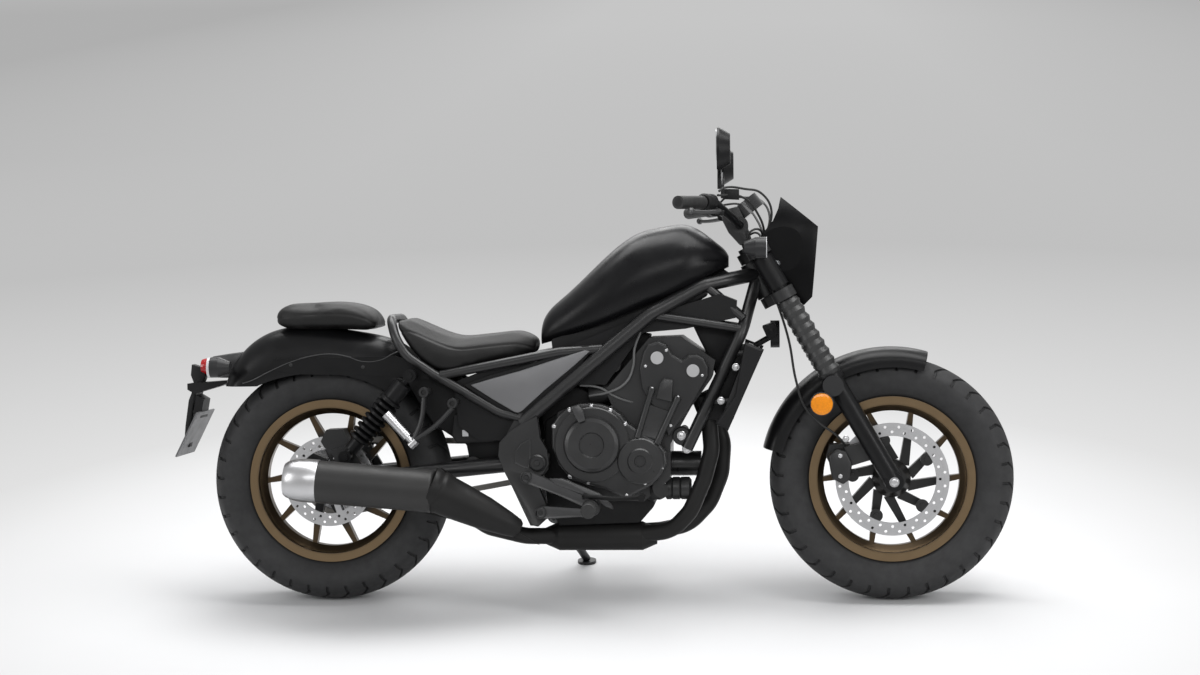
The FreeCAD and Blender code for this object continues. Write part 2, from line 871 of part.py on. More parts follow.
def make_frame_side(label, side):
    """Main tube, down tube and trellis of one side, fused with the pivot plate."""
    tubes = [tube(spots(MAIN_TUBE_SHARES, side), L.main_tube_radius),
             tube(spots(DOWN_TUBE_SHARES, side), L.down_tube_radius),
             tube(spots(TRELLIS_SHARES, side), L.brace_tube_radius),
             tube(spots(BRACE_SHARES, side), L.brace_tube_radius)]
    whole = joined(tubes).cut(rod(HEAD_FOOT - steering_direction() * float(L.head_tube_length),
                                  HEAD_TOP + steering_direction() * float(L.head_tube_length),
                                  L.head_tube_radius))
    bars = feature(f"{label}_tubes", whole)
    plate = new_body(f"{label}_pivot_plate", SIDE)
    middle = L.frame_half_width * 0.92 * -side
    pad(plate, outline(PIVOT_PLATE_SHARES), middle - L.pivot_plate_thickness / 2, L.pivot_plate_thickness)
    round_pad(plate, PIVOT_POINT, L.pivot_shaft_radius, middle - L.pivot_plate_thickness, L.pivot_plate_thickness * 2,
              cut=True)
    return fused(label, [bars, plate])


steering_head = feature("steering_head", make_steering_head())
frame_left = make_frame_side("frame_left_bare", 1)
frame_right = make_frame_side("frame_right", -1)


def make_seat_frame():
    """The loop round the back of the rider's seat, with its two rails."""
    left = spots(SEAT_LOOP_SHARES)
    right = spots(SEAT_LOOP_SHARES, -1)
    loop = tube(left + right[::-1], L.rail_tube_radius)
    rails = [tube(spots(SEAT_RAIL_SHARES, side), L.rail_tube_radius) for side in BOTH_SIDES]
    return joined([loop] + rails)


seat_frame = cleared("seat_frame", feature("seat_frame_tubes", make_seat_frame()), [frame_left, frame_right])


# Swingarm

SWINGARM_CROSS_SHARES = [(0.262, 0.4075)]
DROPOUT_SHARES = [(-0.030, 0.330), (-0.036, 0.358, "arc"), (-0.030, 0.386), (0.022, 0.400), (0.030, 0.452),
                  (0.053, 0.452), (0.075, 0.390), (0.075, 0.336)]

DROPOUT_STOP_SHARE = 0.09


def make_swingarm():
    """Two tubes from the pivot to the axle, a cross tube and the axle plates."""
    shapes = []
    pivot_x, pivot_z = PIVOT_POINT
    for side in BOTH_SIDES:
        front = vector(pivot_x, L.swingarm_pivot_offset * side, pivot_z)
        back = vector(REAR_AXLE.x, L.swingarm_axle_offset * side, REAR_AXLE.z)
        along = back - front
        shapes.append(rod(front, back - along * DROPOUT_STOP_SHARE, L.swingarm_tube_radius))
    cross_x, cross_z = outline(SWINGARM_CROSS_SHARES)[0]
    reach = L.swingarm_pivot_offset
    shapes.append(rod(vector(cross_x, -reach, cross_z), vector(cross_x, reach, cross_z), L.swingarm_tube_radius))
    return joined(shapes)


swingarm_tubes = feature("swingarm_tubes", make_swingarm())
swingarm_plates = []
for side in BOTH_SIDES:
    dropout = new_body("dropout", SIDE)
    pad(dropout, outline(DROPOUT_SHARES), -L.swingarm_axle_offset * side - L.dropout_thickness / 2,
        L.dropout_thickness)
    swingarm_plates.append(dropout)
swingarm_whole = fused("swingarm_whole", [swingarm_tubes] + swingarm_plates)
pivot_shaft = new_body("pivot_shaft", SIDE)
round_pad(pivot_shaft, PIVOT_POINT, L.pivot_shaft_radius, -L.frame_half_width, L.frame_half_width * 2)
swingarm = cleared("swingarm", fused("swingarm_and_shaft", [swingarm_whole, pivot_shaft]), [rear_axle])


# Engine

CRANKCASE_SHARES = [(0.405, 0.491), (0.415, 0.560), (0.448, 0.585), (0.509, 0.563), (0.560, 0.500),
                    (0.612, 0.440), (0.612, 0.366), (0.565, 0.300), (0.499, 0.305), (0.421, 0.396)]
SIDE_COVER_SHARES = [(0.4054, 0.5244), (0.4181, 0.5556), (0.4342, 0.5778), (0.4550, 0.5878),
                     (0.4758, 0.5889), (0.4953, 0.5844), (0.5121, 0.5733), (0.5275, 0.5556),
                     (0.5396, 0.5300), (0.5705, 0.4967), (0.5906, 0.4800), (0.6047, 0.4500),
                     (0.6074, 0.4167), (0.5993, 0.3833), (0.5805, 0.3500), (0.5342, 0.3100),
                     (0.4987, 0.3389), (0.4698, 0.3511), (0.4396, 0.3667), (0.4174, 0.4111), (0.4054, 0.4622)]
CYLINDER_SHARES = [(0.5150, 0.5585), (0.4985, 0.6240), (0.5770, 0.7750), (0.6320, 0.7780), (0.6920, 0.7080),
                   (0.6850, 0.6550), (0.6500, 0.5750), (0.6122, 0.4660), (0.6122, 0.4400), (0.5600, 0.5000)]
HEAD_COVER_SHARES = [(0.5664, 0.7344), (0.5745, 0.7578), (0.5933, 0.7667), (0.6074, 0.7567), (0.6188, 0.7278),
                     (0.6349, 0.7111), (0.6456, 0.7256), (0.6617, 0.7267), (0.6738, 0.7144), (0.6812, 0.6889),
                     (0.6805, 0.6622), (0.6523, 0.5833), (0.6094, 0.4900), (0.5638, 0.6289), (0.5591, 0.6867)]
HEAD_PLUG_SHARES = [(0.5913, 0.7178), (0.6537, 0.6800)]
CLUTCH_CAP_SHARES = [(0.0, -0.2), (1.0, -0.2), (1.0, 0.2), (0.97, 0.32), (0.76, 0.32), (0.71, 0.84), (0.62, 1.0),
                     (0.34, 1.0), (0.31, 0.84), (0.0, 0.84)]
CRANK_CAP_SHARES = [(0.0, -0.2), (1.0, -0.2), (1.0, 0.5), (0.94, 0.7), (0.56, 0.78), (0.50, 1.0), (0.26, 1.0),
                    (0.24, 0.6), (0.0, 0.6)]
OIL_PAN_SHARES = [(0.482, 0.305), (0.486, 0.240), (0.552, 0.240), (0.564, 0.300), (0.499, 0.305)]
CLUTCH_SPOT = outline([(0.4765, 0.469)])[0]
CRANK_SPOT = outline([(0.5604, 0.421)])[0]

case_body = new_body("case_body", SIDE)
pad(case_body, outline(CRANKCASE_SHARES), -L.crankcase_half_width, L.crankcase_half_width * 2)
oil_pan = new_body("oil_pan", SIDE)
pan = pad(oil_pan, outline(OIL_PAN_SHARES), -L.oil_pan_half_width, L.oil_pan_half_width * 2)
soften(oil_pan, pan, L.oil_pan_half_width, L.cover_round)
filter_seat = spot(0.606, 0, 0.40)
filter_end = spot(0.612, 0, 0.40) + vector(L.oil_filter_length, 0, 0)
oil_filter = feature("oil_filter", rod(filter_seat, filter_end, L.oil_filter_radius))


def make_sprocket_room():
    """The recess in the left of the crankcase that the chain runs in."""
    room = Part.Face(chain_loop(float(L.chain_height / 2 + L.chain_room))).extrude(LEFT * float(L.frame_half_width))
    room.translate(LEFT * float(L.chain_offset - L.chain_width / 2 - L.chain_room))
    return room


case_whole = fused("case_whole", [case_body, oil_pan, oil_filter])
crankcase = cleared("crankcase", case_whole, [feature("sprocket_room", make_sprocket_room())])

cylinders = new_body("cylinders", SIDE)
block = pad(cylinders, outline(CYLINDER_SHARES), -L.cylinder_half_width, L.cylinder_half_width * 2)
cylinder_block = cleared("cylinder_block", cylinders, [crankcase])


def make_cap(body, centre, radius, depth, base, side, shares):
    """A turned cap on a cover's face."""
    turn(body, [(radius * out, (base + depth * up) * -side) for out, up in shares], centre)


def make_engine_cover(label, side, caps):
    """A cover on one side of the crankcase, with its round caps."""
    body = new_body(label, SIDE)
    near = L.crankcase_half_width if side < 0 else -L.crankcase_half_width - L.engine_cover_depth
    cover = pad(body, outline(SIDE_COVER_SHARES), near, L.engine_cover_depth)
    outer = L.crankcase_half_width + L.engine_cover_depth
    soften(body, cover, outer * -side, L.cover_round)
    for centre, radius, depth, shares in caps:
        make_cap(body, centre, radius, depth, outer, side, shares)
    return body


clutch_cover = make_engine_cover("clutch_cover", -1, [
    (CLUTCH_SPOT, L.clutch_flange_radius, L.clutch_depth, CLUTCH_CAP_SHARES),
    (CRANK_SPOT, L.crank_flange_radius, L.crank_depth, CRANK_CAP_SHARES)])
generator_cover = make_engine_cover("generator_cover", 1, [
    (CRANK_SPOT, L.generator_radius, L.generator_depth, CRANK_CAP_SHARES)])
engine_covers = gathered("engine_covers", [clutch_cover, generator_cover])


def make_head_cover(label, side):
    """The cover on one side of the cylinder head."""
    body = new_body(label, SIDE)
    near = L.cylinder_half_width if side < 0 else -L.cylinder_half_width - L.head_cover_depth
    cover = pad(body, outline(HEAD_COVER_SHARES), near, L.head_cover_depth)
    outer = L.cylinder_half_width + L.head_cover_depth
    soften(body, cover, outer * -side, L.cover_round)
    for centre in outline(HEAD_PLUG_SHARES):
        start = outer if side < 0 else -outer - L.head_plug_height
        round_pad(body, centre, L.head_plug_radius, start, L.head_plug_height)
    return body


HEAD_SIDES = [("right", -1), ("left", 1)]
head_cover_pair = []
for name, side in HEAD_SIDES:
    whole = make_head_cover(f"head_cover_body_{name}", side)
    bars = frame_right if side < 0 else frame_left
    cover = clutch_cover if side < 0 else generator_cover
    head_cover_pair.append(cleared(f"head_cover_{name}", whole, [bars, crankcase, cover]))
gathered("head_covers", head_cover_pair)


# Intake, air box and the trim between the frame tubes

AIR_BOX_SHARES = [(0.430, 0.640), (0.440, 0.755), (0.530, 0.815), (0.600, 0.850), (0.700, 0.900),
                  (0.730, 0.880), (0.728, 0.830), (0.640, 0.800), (0.566, 0.790), (0.500, 0.640)]
UNDER_TRAY_SHARES = [(0.232, 0.650), (0.240, 0.522), (0.275, 0.480), (0.345, 0.480), (0.400, 0.600),
                     (0.420, 0.680), (0.420, 0.715), (0.300, 0.695)]
TRIANGLE_SHARES = [(0.262, 0.651), (0.300, 0.640, "arc"), (0.350, 0.585), (0.392, 0.625), (0.452, 0.715),
                   (0.452, 0.735), (0.430, 0.731)]

air_box_body = new_body("air_box_body", SIDE)
pad(air_box_body, outline(AIR_BOX_SHARES), -L.air_box_half_width, L.air_box_half_width * 2)
air_box = cleared("air_box", air_box_body, [frame_left, frame_right, steering_head, seat_frame, cylinder_block])

tray_body = new_body("electrics_tray_body", SIDE)
pad(tray_body, outline(UNDER_TRAY_SHARES), -L.tray_half_width, L.tray_half_width * 2)
electrics_tray = cleared("electrics_tray", tray_body, [seat_frame, frame_left, frame_right, crankcase])

side_panel_pair = []
for name, side in HEAD_SIDES:
    panel = new_body(f"side_panel_{name}_body", SIDE)
    near = L.frame_half_width if side < 0 else -L.frame_half_width - L.side_panel_depth
    pad(panel, outline(TRIANGLE_SHARES), near - L.side_panel_sink * -side, L.side_panel_depth)
    bars = frame_right if side < 0 else frame_left
    side_panel_pair.append(cleared(f"side_panel_{name}", panel, [seat_frame, bars]))
gathered("side_panels", side_panel_pair)


# Tank and seats

TANK_STATIONS_SHARES = [(0.384, 0.46, 0.758, 0.815), (0.393, 0.56, 0.762, 0.850), (0.420, 0.70, 0.775, 0.893),
                        (0.455, 0.82, 0.794, 0.945), (0.508, 0.94, 0.826, 1.027), (0.558, 1.00, 0.861, 1.082),
                        (0.605, 1.00, 0.894, 1.100), (0.640, 0.93, 0.919, 1.104), (0.672, 0.78, 0.944, 1.080),
                        (0.698, 0.60, 0.965, 1.046), (0.716, 0.42, 0.979, 1.012)]
RIDER_SEAT_STATIONS_SHARES = [(0.131, 0.80, 0.826, 0.840), (0.145, 0.88, 0.780, 0.836), (0.165, 0.94, 0.735, 0.822),
                              (0.200, 1.0, 0.693, 0.796), (0.235, 1.0, 0.688, 0.779), (0.280, 0.94, 0.698, 0.783),
                              (0.325, 0.80, 0.712, 0.791), (0.355, 0.62, 0.728, 0.793), (0.374, 0.46, 0.742, 0.775)]
PILLION_STATIONS_SHARES = [(-0.094, 0.62, 0.822, 0.850), (-0.085, 0.80, 0.817, 0.870), (-0.060, 0.94, 0.813, 0.880),
                           (0.0, 1.0, 0.811, 0.884), (0.050, 0.98, 0.810, 0.877), (0.078, 0.88, 0.808, 0.856),
                           (0.091, 0.72, 0.810, 0.822)]
TANK_SECTION_SHARES = [(0.80, 0.0), (1.0, 0.22), (0.98, 0.52), (0.74, 0.83), (0.36, 0.97), (0.0, 1.0)]
SEAT_SECTION_SHARES = [(0.84, 0.0), (1.0, 0.34), (0.94, 0.74), (0.66, 0.95), (0.0, 1.0)]

tank_loft = feature("tank_loft", crowned_solid(TANK_STATIONS_SHARES, L.tank_half_width, TANK_SECTION_SHARES))
fuel_tank = cleared("fuel_tank", tank_loft, [frame_left, frame_right, steering_head, air_box])
rider_seat_loft = feature("rider_seat_loft", crowned_solid(RIDER_SEAT_STATIONS_SHARES, L.rider_seat_half_width,
                                                           SEAT_SECTION_SHARES))
pillion_seat = feature("pillion_seat", crowned_solid(PILLION_STATIONS_SHARES, L.pillion_seat_half_width,
                                                     SEAT_SECTION_SHARES))
rider_seat = cleared("rider_seat", rider_seat_loft, [seat_frame, electrics_tray, fuel_tank])


# Fenders

def fender_section(centre, angle, crown, edge, half_width, wall):
    """A thin arch across a wheel, standing on the wheel's radius at an angle."""
    heading = math.radians(angle)
    out = Vector(math.cos(heading), 0, math.sin(heading))

    def row(radius, across):
        return centre + out * float(radius) + LEFT * float(across)

    def arch(inset):
        top = float(crown) - inset
        wide = float(half_width) - inset
        rise = top - float(edge)
        left = [row(float(edge), wide), row(top - rise * 0.38, wide * 0.985), row(top - rise * 0.10, wide * 0.72)]
        right = [point - LEFT * (2 * (point - centre).dot(LEFT)) for point in reversed(left)]
        curve = Part.BSplineCurve()
        curve.interpolate(left + [row(top, 0)] + right)
        return curve

    outer = arch(0)
    inner = arch(float(wall))
    first = Part.LineSegment(inner.StartPoint, outer.StartPoint)
    second = Part.LineSegment(outer.EndPoint, inner.EndPoint)
    inner.reverse()
    return Part.Wire([outer.toShape(), second.toShape(), inner.toShape(), first.toShape()])


REAR_FENDER_SHARES = [(52, 1.215, 0.893), (70, 1.268, 0.893), (88, 1.262, 0.896), (108, 1.330, 0.926),
                      (124, 1.300, 0.975), (142, 1.120, 0.99)]
FRONT_FENDER_ANGLES_SHARES = [0.0, 0.25, 0.5, 0.75, 1.0]


def make_rear_fender():
    """An arch over the rear tyre that drops behind the pillion seat."""
    sections = []
    for angle, crown, edge in REAR_FENDER_SHARES:
        sections.append(fender_section(REAR_AXLE, angle, L.rear_tyre_radius * crown, L.rear_tyre_radius * edge,
                                       L.rear_fender_half_width, L.fender_wall))
    shell = skin(sections)
    low = spot(-0.30, -2, 0.20)
    waste = Part.makeBox(float(L.wheelbase) * 0.30, float(L.frame_half_width) * 4, float(L.frame_height) * 0.4413, low)
    return shell.cut(waste)


rear_fender_shell = feature("rear_fender_shell", make_rear_fender())
rear_fender = cleared("rear_fender", rear_fender_shell, [seat_frame, pillion_seat, rider_seat, electrics_tray])


def make_front_fender():
    """An arch round the upper back of the front tyre."""
    crown = L.front_tyre_radius + L.front_fender_gap
    edge = L.front_tyre_radius - L.front_fender_gap
    sections = []
    for share in FRONT_FENDER_ANGLES_SHARES:
        angle = A.front_fender_start.number + A.front_fender_span.number * share
        sections.append(fender_section(FRONT_AXLE, angle, crown, edge, L.front_fender_half_width, L.fender_wall))
    return skin(sections)


front_fender_shell = feature("front_fender_shell", make_front_fender())


# Radiator

RADIATOR_TOP = spot(0.760, 0, 0.745)
RADIATOR_FOOT = spot(0.7135, 0, 0.545)
RADIATOR_STAY_SHARES = [((0.749, 0.72, 0.728), (0.715, 0.72, 0.728)), ((0.722, 0.74, 0.590), (0.682, 0.75, 0.590))]
RADIATOR_GUARD_SHARES = [(0.744, 0.762), (0.777, 0.740), (0.714, 0.509), (0.692, 0.530), (0.726, 0.607)]


def make_radiator():
    """A core between two side tanks, leaning back at its foot, with a filler cap."""
    line = RADIATOR_TOP - RADIATOR_FOOT
    half = float(L.radiator_half_width)
    deep = float(L.radiator_depth)
    core = Part.makeBox(deep, half * 2, line.Length, Vector(-deep / 2, -half, 0))
    recess = Part.makeBox(deep / 4, half * 1.6, line.Length * 0.86,
                          Vector(deep / 2 - deep / 4, -half * 0.8, line.Length * 0.07))
    core = core.cut(recess)
    core.Placement = Placement(RADIATOR_FOOT, Rotation(UP, line))
    stays = []
    for side in BOTH_SIDES:
        for shares in RADIATOR_STAY_SHARES:
            front, back = spots(shares, side)
            stays.append(rod(front, back, L.radiator_stay_radius))
    return joined([core] + stays)


def make_radiator_guard(side):
    """The dark shell over one end of the radiator."""
    name = "left" if side > 0 else "right"
    body = new_body(f"radiator_guard_{name}_body", SIDE)
    near = L.radiator_half_width if side < 0 else -L.radiator_half_width - L.radiator_guard_depth
    shell = pad(body, outline(RADIATOR_GUARD_SHARES), near, L.radiator_guard_depth)
    soften(body, shell, (L.radiator_half_width + L.radiator_guard_depth) * -side, L.cover_round)
    return body


radiator_core = feature("radiator_core", make_radiator())
radiator = cleared("radiator", radiator_core, [frame_left, frame_right])
guard_left = cleared("radiator_guard_left", make_radiator_guard(1), [frame_left])
guard_right = cleared("radiator_guard_right", make_radiator_guard(-1), [frame_right])
gathered("radiator_guards", [guard_left, guard_right])
HORN_BACK = spot(0.789, 0, 0.780)


def make_horn():
    """A round horn on a stay from the radiator's top."""
    drum = rod(HORN_BACK, HORN_BACK + vector(L.horn_depth, 0, 0), L.horn_radius)
    hub = HORN_BACK + vector(L.horn_depth / 2, 0, 0)
    return joined([drum, rod(RADIATOR_TOP, hub, L.horn_stay_radius)])


horn = cleared("horn", feature("horn_whole", make_horn()), [radiator])


# Exhaust

NEAR_HEADER_SHARES = [(0.664, -0.40, 0.592), (0.680, -0.54, 0.530), (0.684, -0.57, 0.446), (0.670, -0.57, 0.361),
                      (0.646, -0.57, 0.268), (0.612, -0.52, 0.208), (0.560, -0.47, 0.200)]
FAR_HEADER_SHARES = [(0.668, 0.40, 0.606), (0.684, 0.43, 0.555), (0.703, 0.43, 0.454), (0.699, 0.43, 0.364),
                     (0.678, 0.41, 0.278), (0.640, 0.29, 0.214), (0.590, 0.02, 0.202), (0.545, -0.14, 0.200)]
COLLECTOR_SHARES = [(0.560, -0.36, 0.192), (0.412, -0.36, 0.192)]
LINK_PIPE_SHARES = [(0.430, -0.36, 0.192), (0.355, -0.60, 0.196), (0.295, -1.10, 0.232), (0.245, -1.60, 0.300),
                    (0.190, -1.66, 0.346)]
MUFFLER_SHARES = [(0.205, -1.66, 0.344), (-0.0235, -1.66, 0.3775)]
PIPE_COVER_SHARES = [(0.217, 0.410), (0.249, 0.372), (0.281, 0.330), (0.327, 0.243), (0.387, 0.186),
                     (0.266, 0.247), (0.185, 0.279)]


def make_exhaust():
    """Two headers into a collector, and the pipe on to the muffler."""
    start, end = spots(COLLECTOR_SHARES)
    box = rod(start, end, L.collector_radius)
    front_cone = Part.makeCone(float(L.collector_radius), float(L.header_radius), float(L.collector_radius),
                               start, start - end)
    back_cone = Part.makeCone(float(L.collector_radius), float(L.header_radius), float(L.collector_radius),
                              end, end - start)
    pipes = [tube(spots(shares), L.header_radius)
             for shares in (NEAR_HEADER_SHARES, FAR_HEADER_SHARES, LINK_PIPE_SHARES)]
    return joined([box, front_cone, back_cone] + pipes)


def make_muffler():
    """A round can with a drawn-in front end and a deep end cap with one outlet."""
    front, back = spots(MUFFLER_SHARES)
    line = back - front
    radius = float(L.muffler_radius)
    cap = float(L.muffler_cap_length)
    can = rod(front, back, radius)
    edges = [edge for edge in can.Edges if edge.Curve.TypeId == "Part::GeomCircle"]
    can = can.makeFillet(float(L.cover_round), edges)
    direction = Vector(line).normalize()
    bore = rod(back - direction * (cap / 2), back + direction * cap, radius * 0.72)
    outlet = rod(back - direction * cap, back + direction * (cap / 5), L.outlet_radius)
    hollow = rod(back - direction * (cap / 2), back + direction * cap, L.outlet_radius - L.pipe_wall)
    return joined([can.cut(bore), outlet]).cut(hollow)


muffler = feature("muffler", make_muffler())
exhaust_whole = feature("exhaust_whole", make_exhaust())
pipe_cover_body = new_body("pipe_cover_body", SIDE)
pad(pipe_cover_body, outline(PIPE_COVER_SHARES), L.pipe_cover_offset, L.pipe_cover_wall)
covered_exhaust = fused("covered_exhaust", [exhaust_whole, pipe_cover_body])
exhaust_pipes = cleared("exhaust_pipes", covered_exhaust, [muffler, cylinder_block, crankcase])


# Rear shock absorbers

SHOCK_TOP_SHARES = (0.1577, 0.672)
SHOCK_FOOT_SHARES = (0.0416, 0.437)
SHOCK_SPRING_SHARES = (0.20, 0.72, 0.90)
SHOCK_NECK_SHARE = 0.09


def shock_profile(length):
    """Half the section of the body, the coils and the can, from the lower eye to the upper one."""
    groove = float(L.shock_spring_radius - L.shock_wire_radius * 2)
    crest = float(L.shock_spring_radius)
    body = float(L.shock_body_radius)
    can = float(L.shock_can_radius)
    neck = body / 2
    eye = length * SHOCK_NECK_SHARE
    start, stop, high = [length * share for share in SHOCK_SPRING_SHARES]
    turns = int(N.spring_turns.number)
    pitch = (stop - start) / turns
    rows = [(0, 0), (neck, 0), (neck, eye), (body, eye), (body, start), (groove, start)]
    for number in range(turns):
        low = start + pitch * number
        rows += [(crest, low + pitch * 0.3), (crest, low + pitch * 0.7), (groove, low + pitch)]
    rows += [(can, stop), (can, high), (neck, high), (neck, length), (0, length), (0, 0)]
    return Part.Face(Part.makePolygon([Vector(radius, 0, height) for radius, height in rows]))


def make_shock(side):
    """Body, coils and can between two eyes, with the bolts that hold them."""
    offset = L.shock_offset * side
    top_x, top_z = outline([SHOCK_TOP_SHARES])[0]
    foot_x, foot_z = outline([SHOCK_FOOT_SHARES])[0]
    top = vector(top_x, offset, top_z)
    foot = vector(foot_x, offset, foot_z)
    line = top - foot
    strut = shock_profile(line.Length).revolve(Vector(), UP, 360)
    strut.Placement = Placement(foot, Rotation(UP, line))
    eye = LEFT * float(L.shock_eye_width / 2)
    shapes = [rod(end - eye, end + eye, L.shock_eye_radius) for end in (top, foot)]
    outer = float(offset) + float(L.shock_eye_width / 2 + L.shock_bolt_head) * side
    rail_face = float(L.rear_fender_half_width + L.fender_rail_thickness) * side
    arm_face = float(L.swingarm_axle_offset + L.dropout_thickness / 2) * side
    for end, seat in ((top, rail_face), (foot, arm_face)):
        shapes.append(rod(Vector(end.x, seat, end.z), Vector(end.x, outer, end.z), L.shock_bolt_radius))
    return joined([strut] + shapes)


shock_left = feature("shock_left", make_shock(1))
shock_right = feature("shock_right", make_shock(-1))
rear_shocks = gathered("rear_shocks", [shock_left, shock_right])


# Tail

FENDER_RAIL_SHARES = [(0.190, 0.700), (0.126, 0.728), (-0.091, 0.722), (-0.101, 0.690), (-0.040, 0.676),
                      (0.068, 0.673), (0.185, 0.660)]
RAIL_SPACER_SHARES = (0.186, 0.684)
TAIL_LIGHT_SHARES = [(-0.170, 0.728), (-0.225, 0.733), (-0.242, 0.722), (-0.242, 0.670), (-0.225, 0.662),
                     (-0.178, 0.658)]
PLATE_BRACKET_SHARES = [(-0.176, 0.657), (-0.262, 0.648), (-0.262, 0.630), (-0.232, 0.600), (-0.238, 0.545),
                        (-0.252, 0.560), (-0.245, 0.620), (-0.200, 0.641)]
PLATE_SHARES = [(-0.234, 0.563), (-0.2735, 0.433)]

fender_rail_pair = []
for name, side in HEAD_SIDES:
    rail = new_body(f"fender_rail_{name}_body", SIDE)
    start = L.rear_fender_half_width if side < 0 else -L.rear_fender_half_width - L.fender_rail_thickness
    pad(rail, outline(FENDER_RAIL_SHARES), start, L.fender_rail_thickness)
    outer = L.rear_fender_half_width + L.fender_rail_thickness
    reach = L.frame_half_width * 0.92 - outer
    round_pad(rail, outline([RAIL_SPACER_SHARES])[0], L.boss_radius, outer if side < 0 else -outer - reach, reach)
    fender_rail_pair.append(cleared(f"fender_rail_{name}", rail, [seat_frame, rear_shocks, rear_fender]))
gathered("fender_rails", fender_rail_pair)

tail_body = new_body("tail_light_body", SIDE)
pad(tail_body, outline(TAIL_LIGHT_SHARES), -L.tail_light_half_width, L.tail_light_half_width * 2)
tail_light = cleared("tail_light", tail_body, [rear_fender])

bracket_body = new_body("plate_bracket_body", SIDE)
pad(bracket_body, outline(PLATE_BRACKET_SHARES), -L.plate_bracket_half_width, L.plate_bracket_half_width * 2)
plate_bracket = cleared("plate_bracket", bracket_body, [rear_fender, tail_light])


def make_plate():
    """The blank number plate."""
    (top_x, top_z), (foot_x, foot_z) = outline(PLATE_SHARES)
    top = vector(top_x, 0, top_z)
    foot = vector(foot_x, 0, foot_z)
    line = top - foot
    half = float(L.plate_half_width)
    thick = float(L.plate_thickness)
    sheet = Part.makeBox(thick, half * 2, line.Length, Vector(-thick, -half, 0))
    sheet.Placement = Placement(foot, Rotation(UP, line))
    return sheet


number_plate = cleared("number_plate", feature("number_plate_sheet", make_plate()), [plate_bracket])


def make_indicator(centre, direction, stem_end):
    """A round lamp on a stem."""
    axis = Vector(direction).normalize()
    length = float(L.indicator_length)
    radius = float(L.indicator_radius)
    nose = centre + axis * (length / 2)
    tail = centre - axis * (length / 2)
    drum = rod(centre, nose, radius)
    back = Part.makeCone(radius * 0.55, radius, length / 2, tail, axis)
    return joined([drum, back, rod(centre, stem_end, L.indicator_stem_radius)])


rear_indicators = []
for side in BOTH_SIDES:
    lamp = make_indicator(spot(-0.185, 0.95 * side, 0.700), Vector(-1, 0, 0), spot(-0.190, 0.40 * side, 0.695))
    rear_indicators.append(lamp)
rear_indicator_pair = feature("rear_indicator_pair", Part.makeCompound(rear_indicators))
rear_lamps = cleared("rear_indicators", rear_indicator_pair, [tail_light, rear_fender])


# Rear brake

REAR_CALIPER_SHARES = [(-0.010, 0.478), (0.000, 0.512), (0.030, 0.514), (0.040, 0.470), (0.030, 0.436),
                       (0.004, 0.440)]
REAR_ARM_SHARES = [(0.012, 0.455), (0.040, 0.468), (0.053, 0.445), (0.047, 0.405), (0.020, 0.405)]
rear_caliper_body = new_body("rear_caliper_body", SIDE)
caliper_start = L.rear_hub_width / 2 + L.disc_thickness / 2 - L.caliper_depth * 0.42
pad(rear_caliper_body, outline(REAR_CALIPER_SHARES), caliper_start, L.caliper_depth)
rear_arm_start = caliper_start + L.caliper_depth * 0.6
pad(rear_caliper_body, outline(REAR_ARM_SHARES), rear_arm_start, L.swingarm_axle_offset - rear_arm_start)
round_pad(rear_caliper_body, (as_size(0), L.rear_tyre_radius), L.rear_disc_radius + L.cut_overrun,
          L.rear_hub_width / 2 - L.cut_overrun * 2, L.disc_thickness + L.cut_overrun * 4, cut=True)
rear_caliper = cleared("rear_caliper", rear_caliper_body, [swingarm])


# Foot controls, stand and pillion pegs

FOOT_BRACKET_SHARES = [(0.352, 0.395), (0.362, 0.425), (0.392, 0.432), (0.484, 0.306), (0.480, 0.276),
                       (0.462, 0.268), (0.392, 0.276)]
FOOT_WINDOW_SHARES = [(0.396, 0.388), (0.448, 0.322), (0.442, 0.300), (0.402, 0.304)]
PEG_SPOT_SHARES = (0.4765, 0.291)


def make_foot_bracket(side):
    """The cast plate that carries the rider's peg, standing off the pivot plate."""
    name = "left" if side > 0 else "right"
    body = new_body(f"foot_bracket_{name}_body", SIDE)
    far = L.foot_bracket_offset if side < 0 else -L.foot_bracket_offset - L.bracket_thickness
    pad(body, outline(FOOT_BRACKET_SHARES), far, L.bracket_thickness)
    pad(body, outline(FOOT_WINDOW_SHARES), far - L.cut_overrun, L.bracket_thickness + L.cut_overrun * 2, cut=True)
    inner = L.frame_half_width * 0.92 + L.pivot_plate_thickness / 2
    for share in ((0.366, 0.400), (0.390, 0.405)):
        start = inner if side < 0 else -L.foot_bracket_offset
        round_pad(body, outline([share])[0], L.boss_radius, start, L.foot_bracket_offset - inner)
    return body


def make_peg(side):
    """A rubber-covered rider's peg."""
    x, z = outline([PEG_SPOT_SHARES])[0]
    inner = L.foot_bracket_offset + L.bracket_thickness
    start = vector(x, inner * side, z)
    end = vector(x, (inner + L.peg_length) * side, z)
    return rod(start, end, L.peg_radius)


foot_brackets = [make_foot_bracket(side) for name, side in HEAD_SIDES]
rider_pegs = [feature("rider_peg", make_peg(side)) for side in BOTH_SIDES]
footrests = cleared("footrests", fused("footrests_whole", foot_brackets + rider_pegs), [swingarm])

BRAKE_PEDAL_SHARES = [(0.463, -1.28, 0.320), (0.466, -1.56, 0.328), (0.520, -1.70, 0.322), (0.566, -1.70, 0.326)]
GEAR_LEVER_SHARES = [(0.463, 1.28, 0.320), (0.466, 1.56, 0.328), (0.520, 1.70, 0.328), (0.566, 1.72, 0.340)]


def make_foot_lever(shares):
    """A bent rod with a foot pad across its end."""
    points = spots(shares)
    arm = tube(points, L.pedal_rod_radius, L.pedal_bend)
    half = LEFT * float(L.pedal_pad_width / 2)
    pad_bar = rod(points[-1] - half, points[-1] + half, L.pedal_pad_radius)
    return joined([arm, pad_bar])


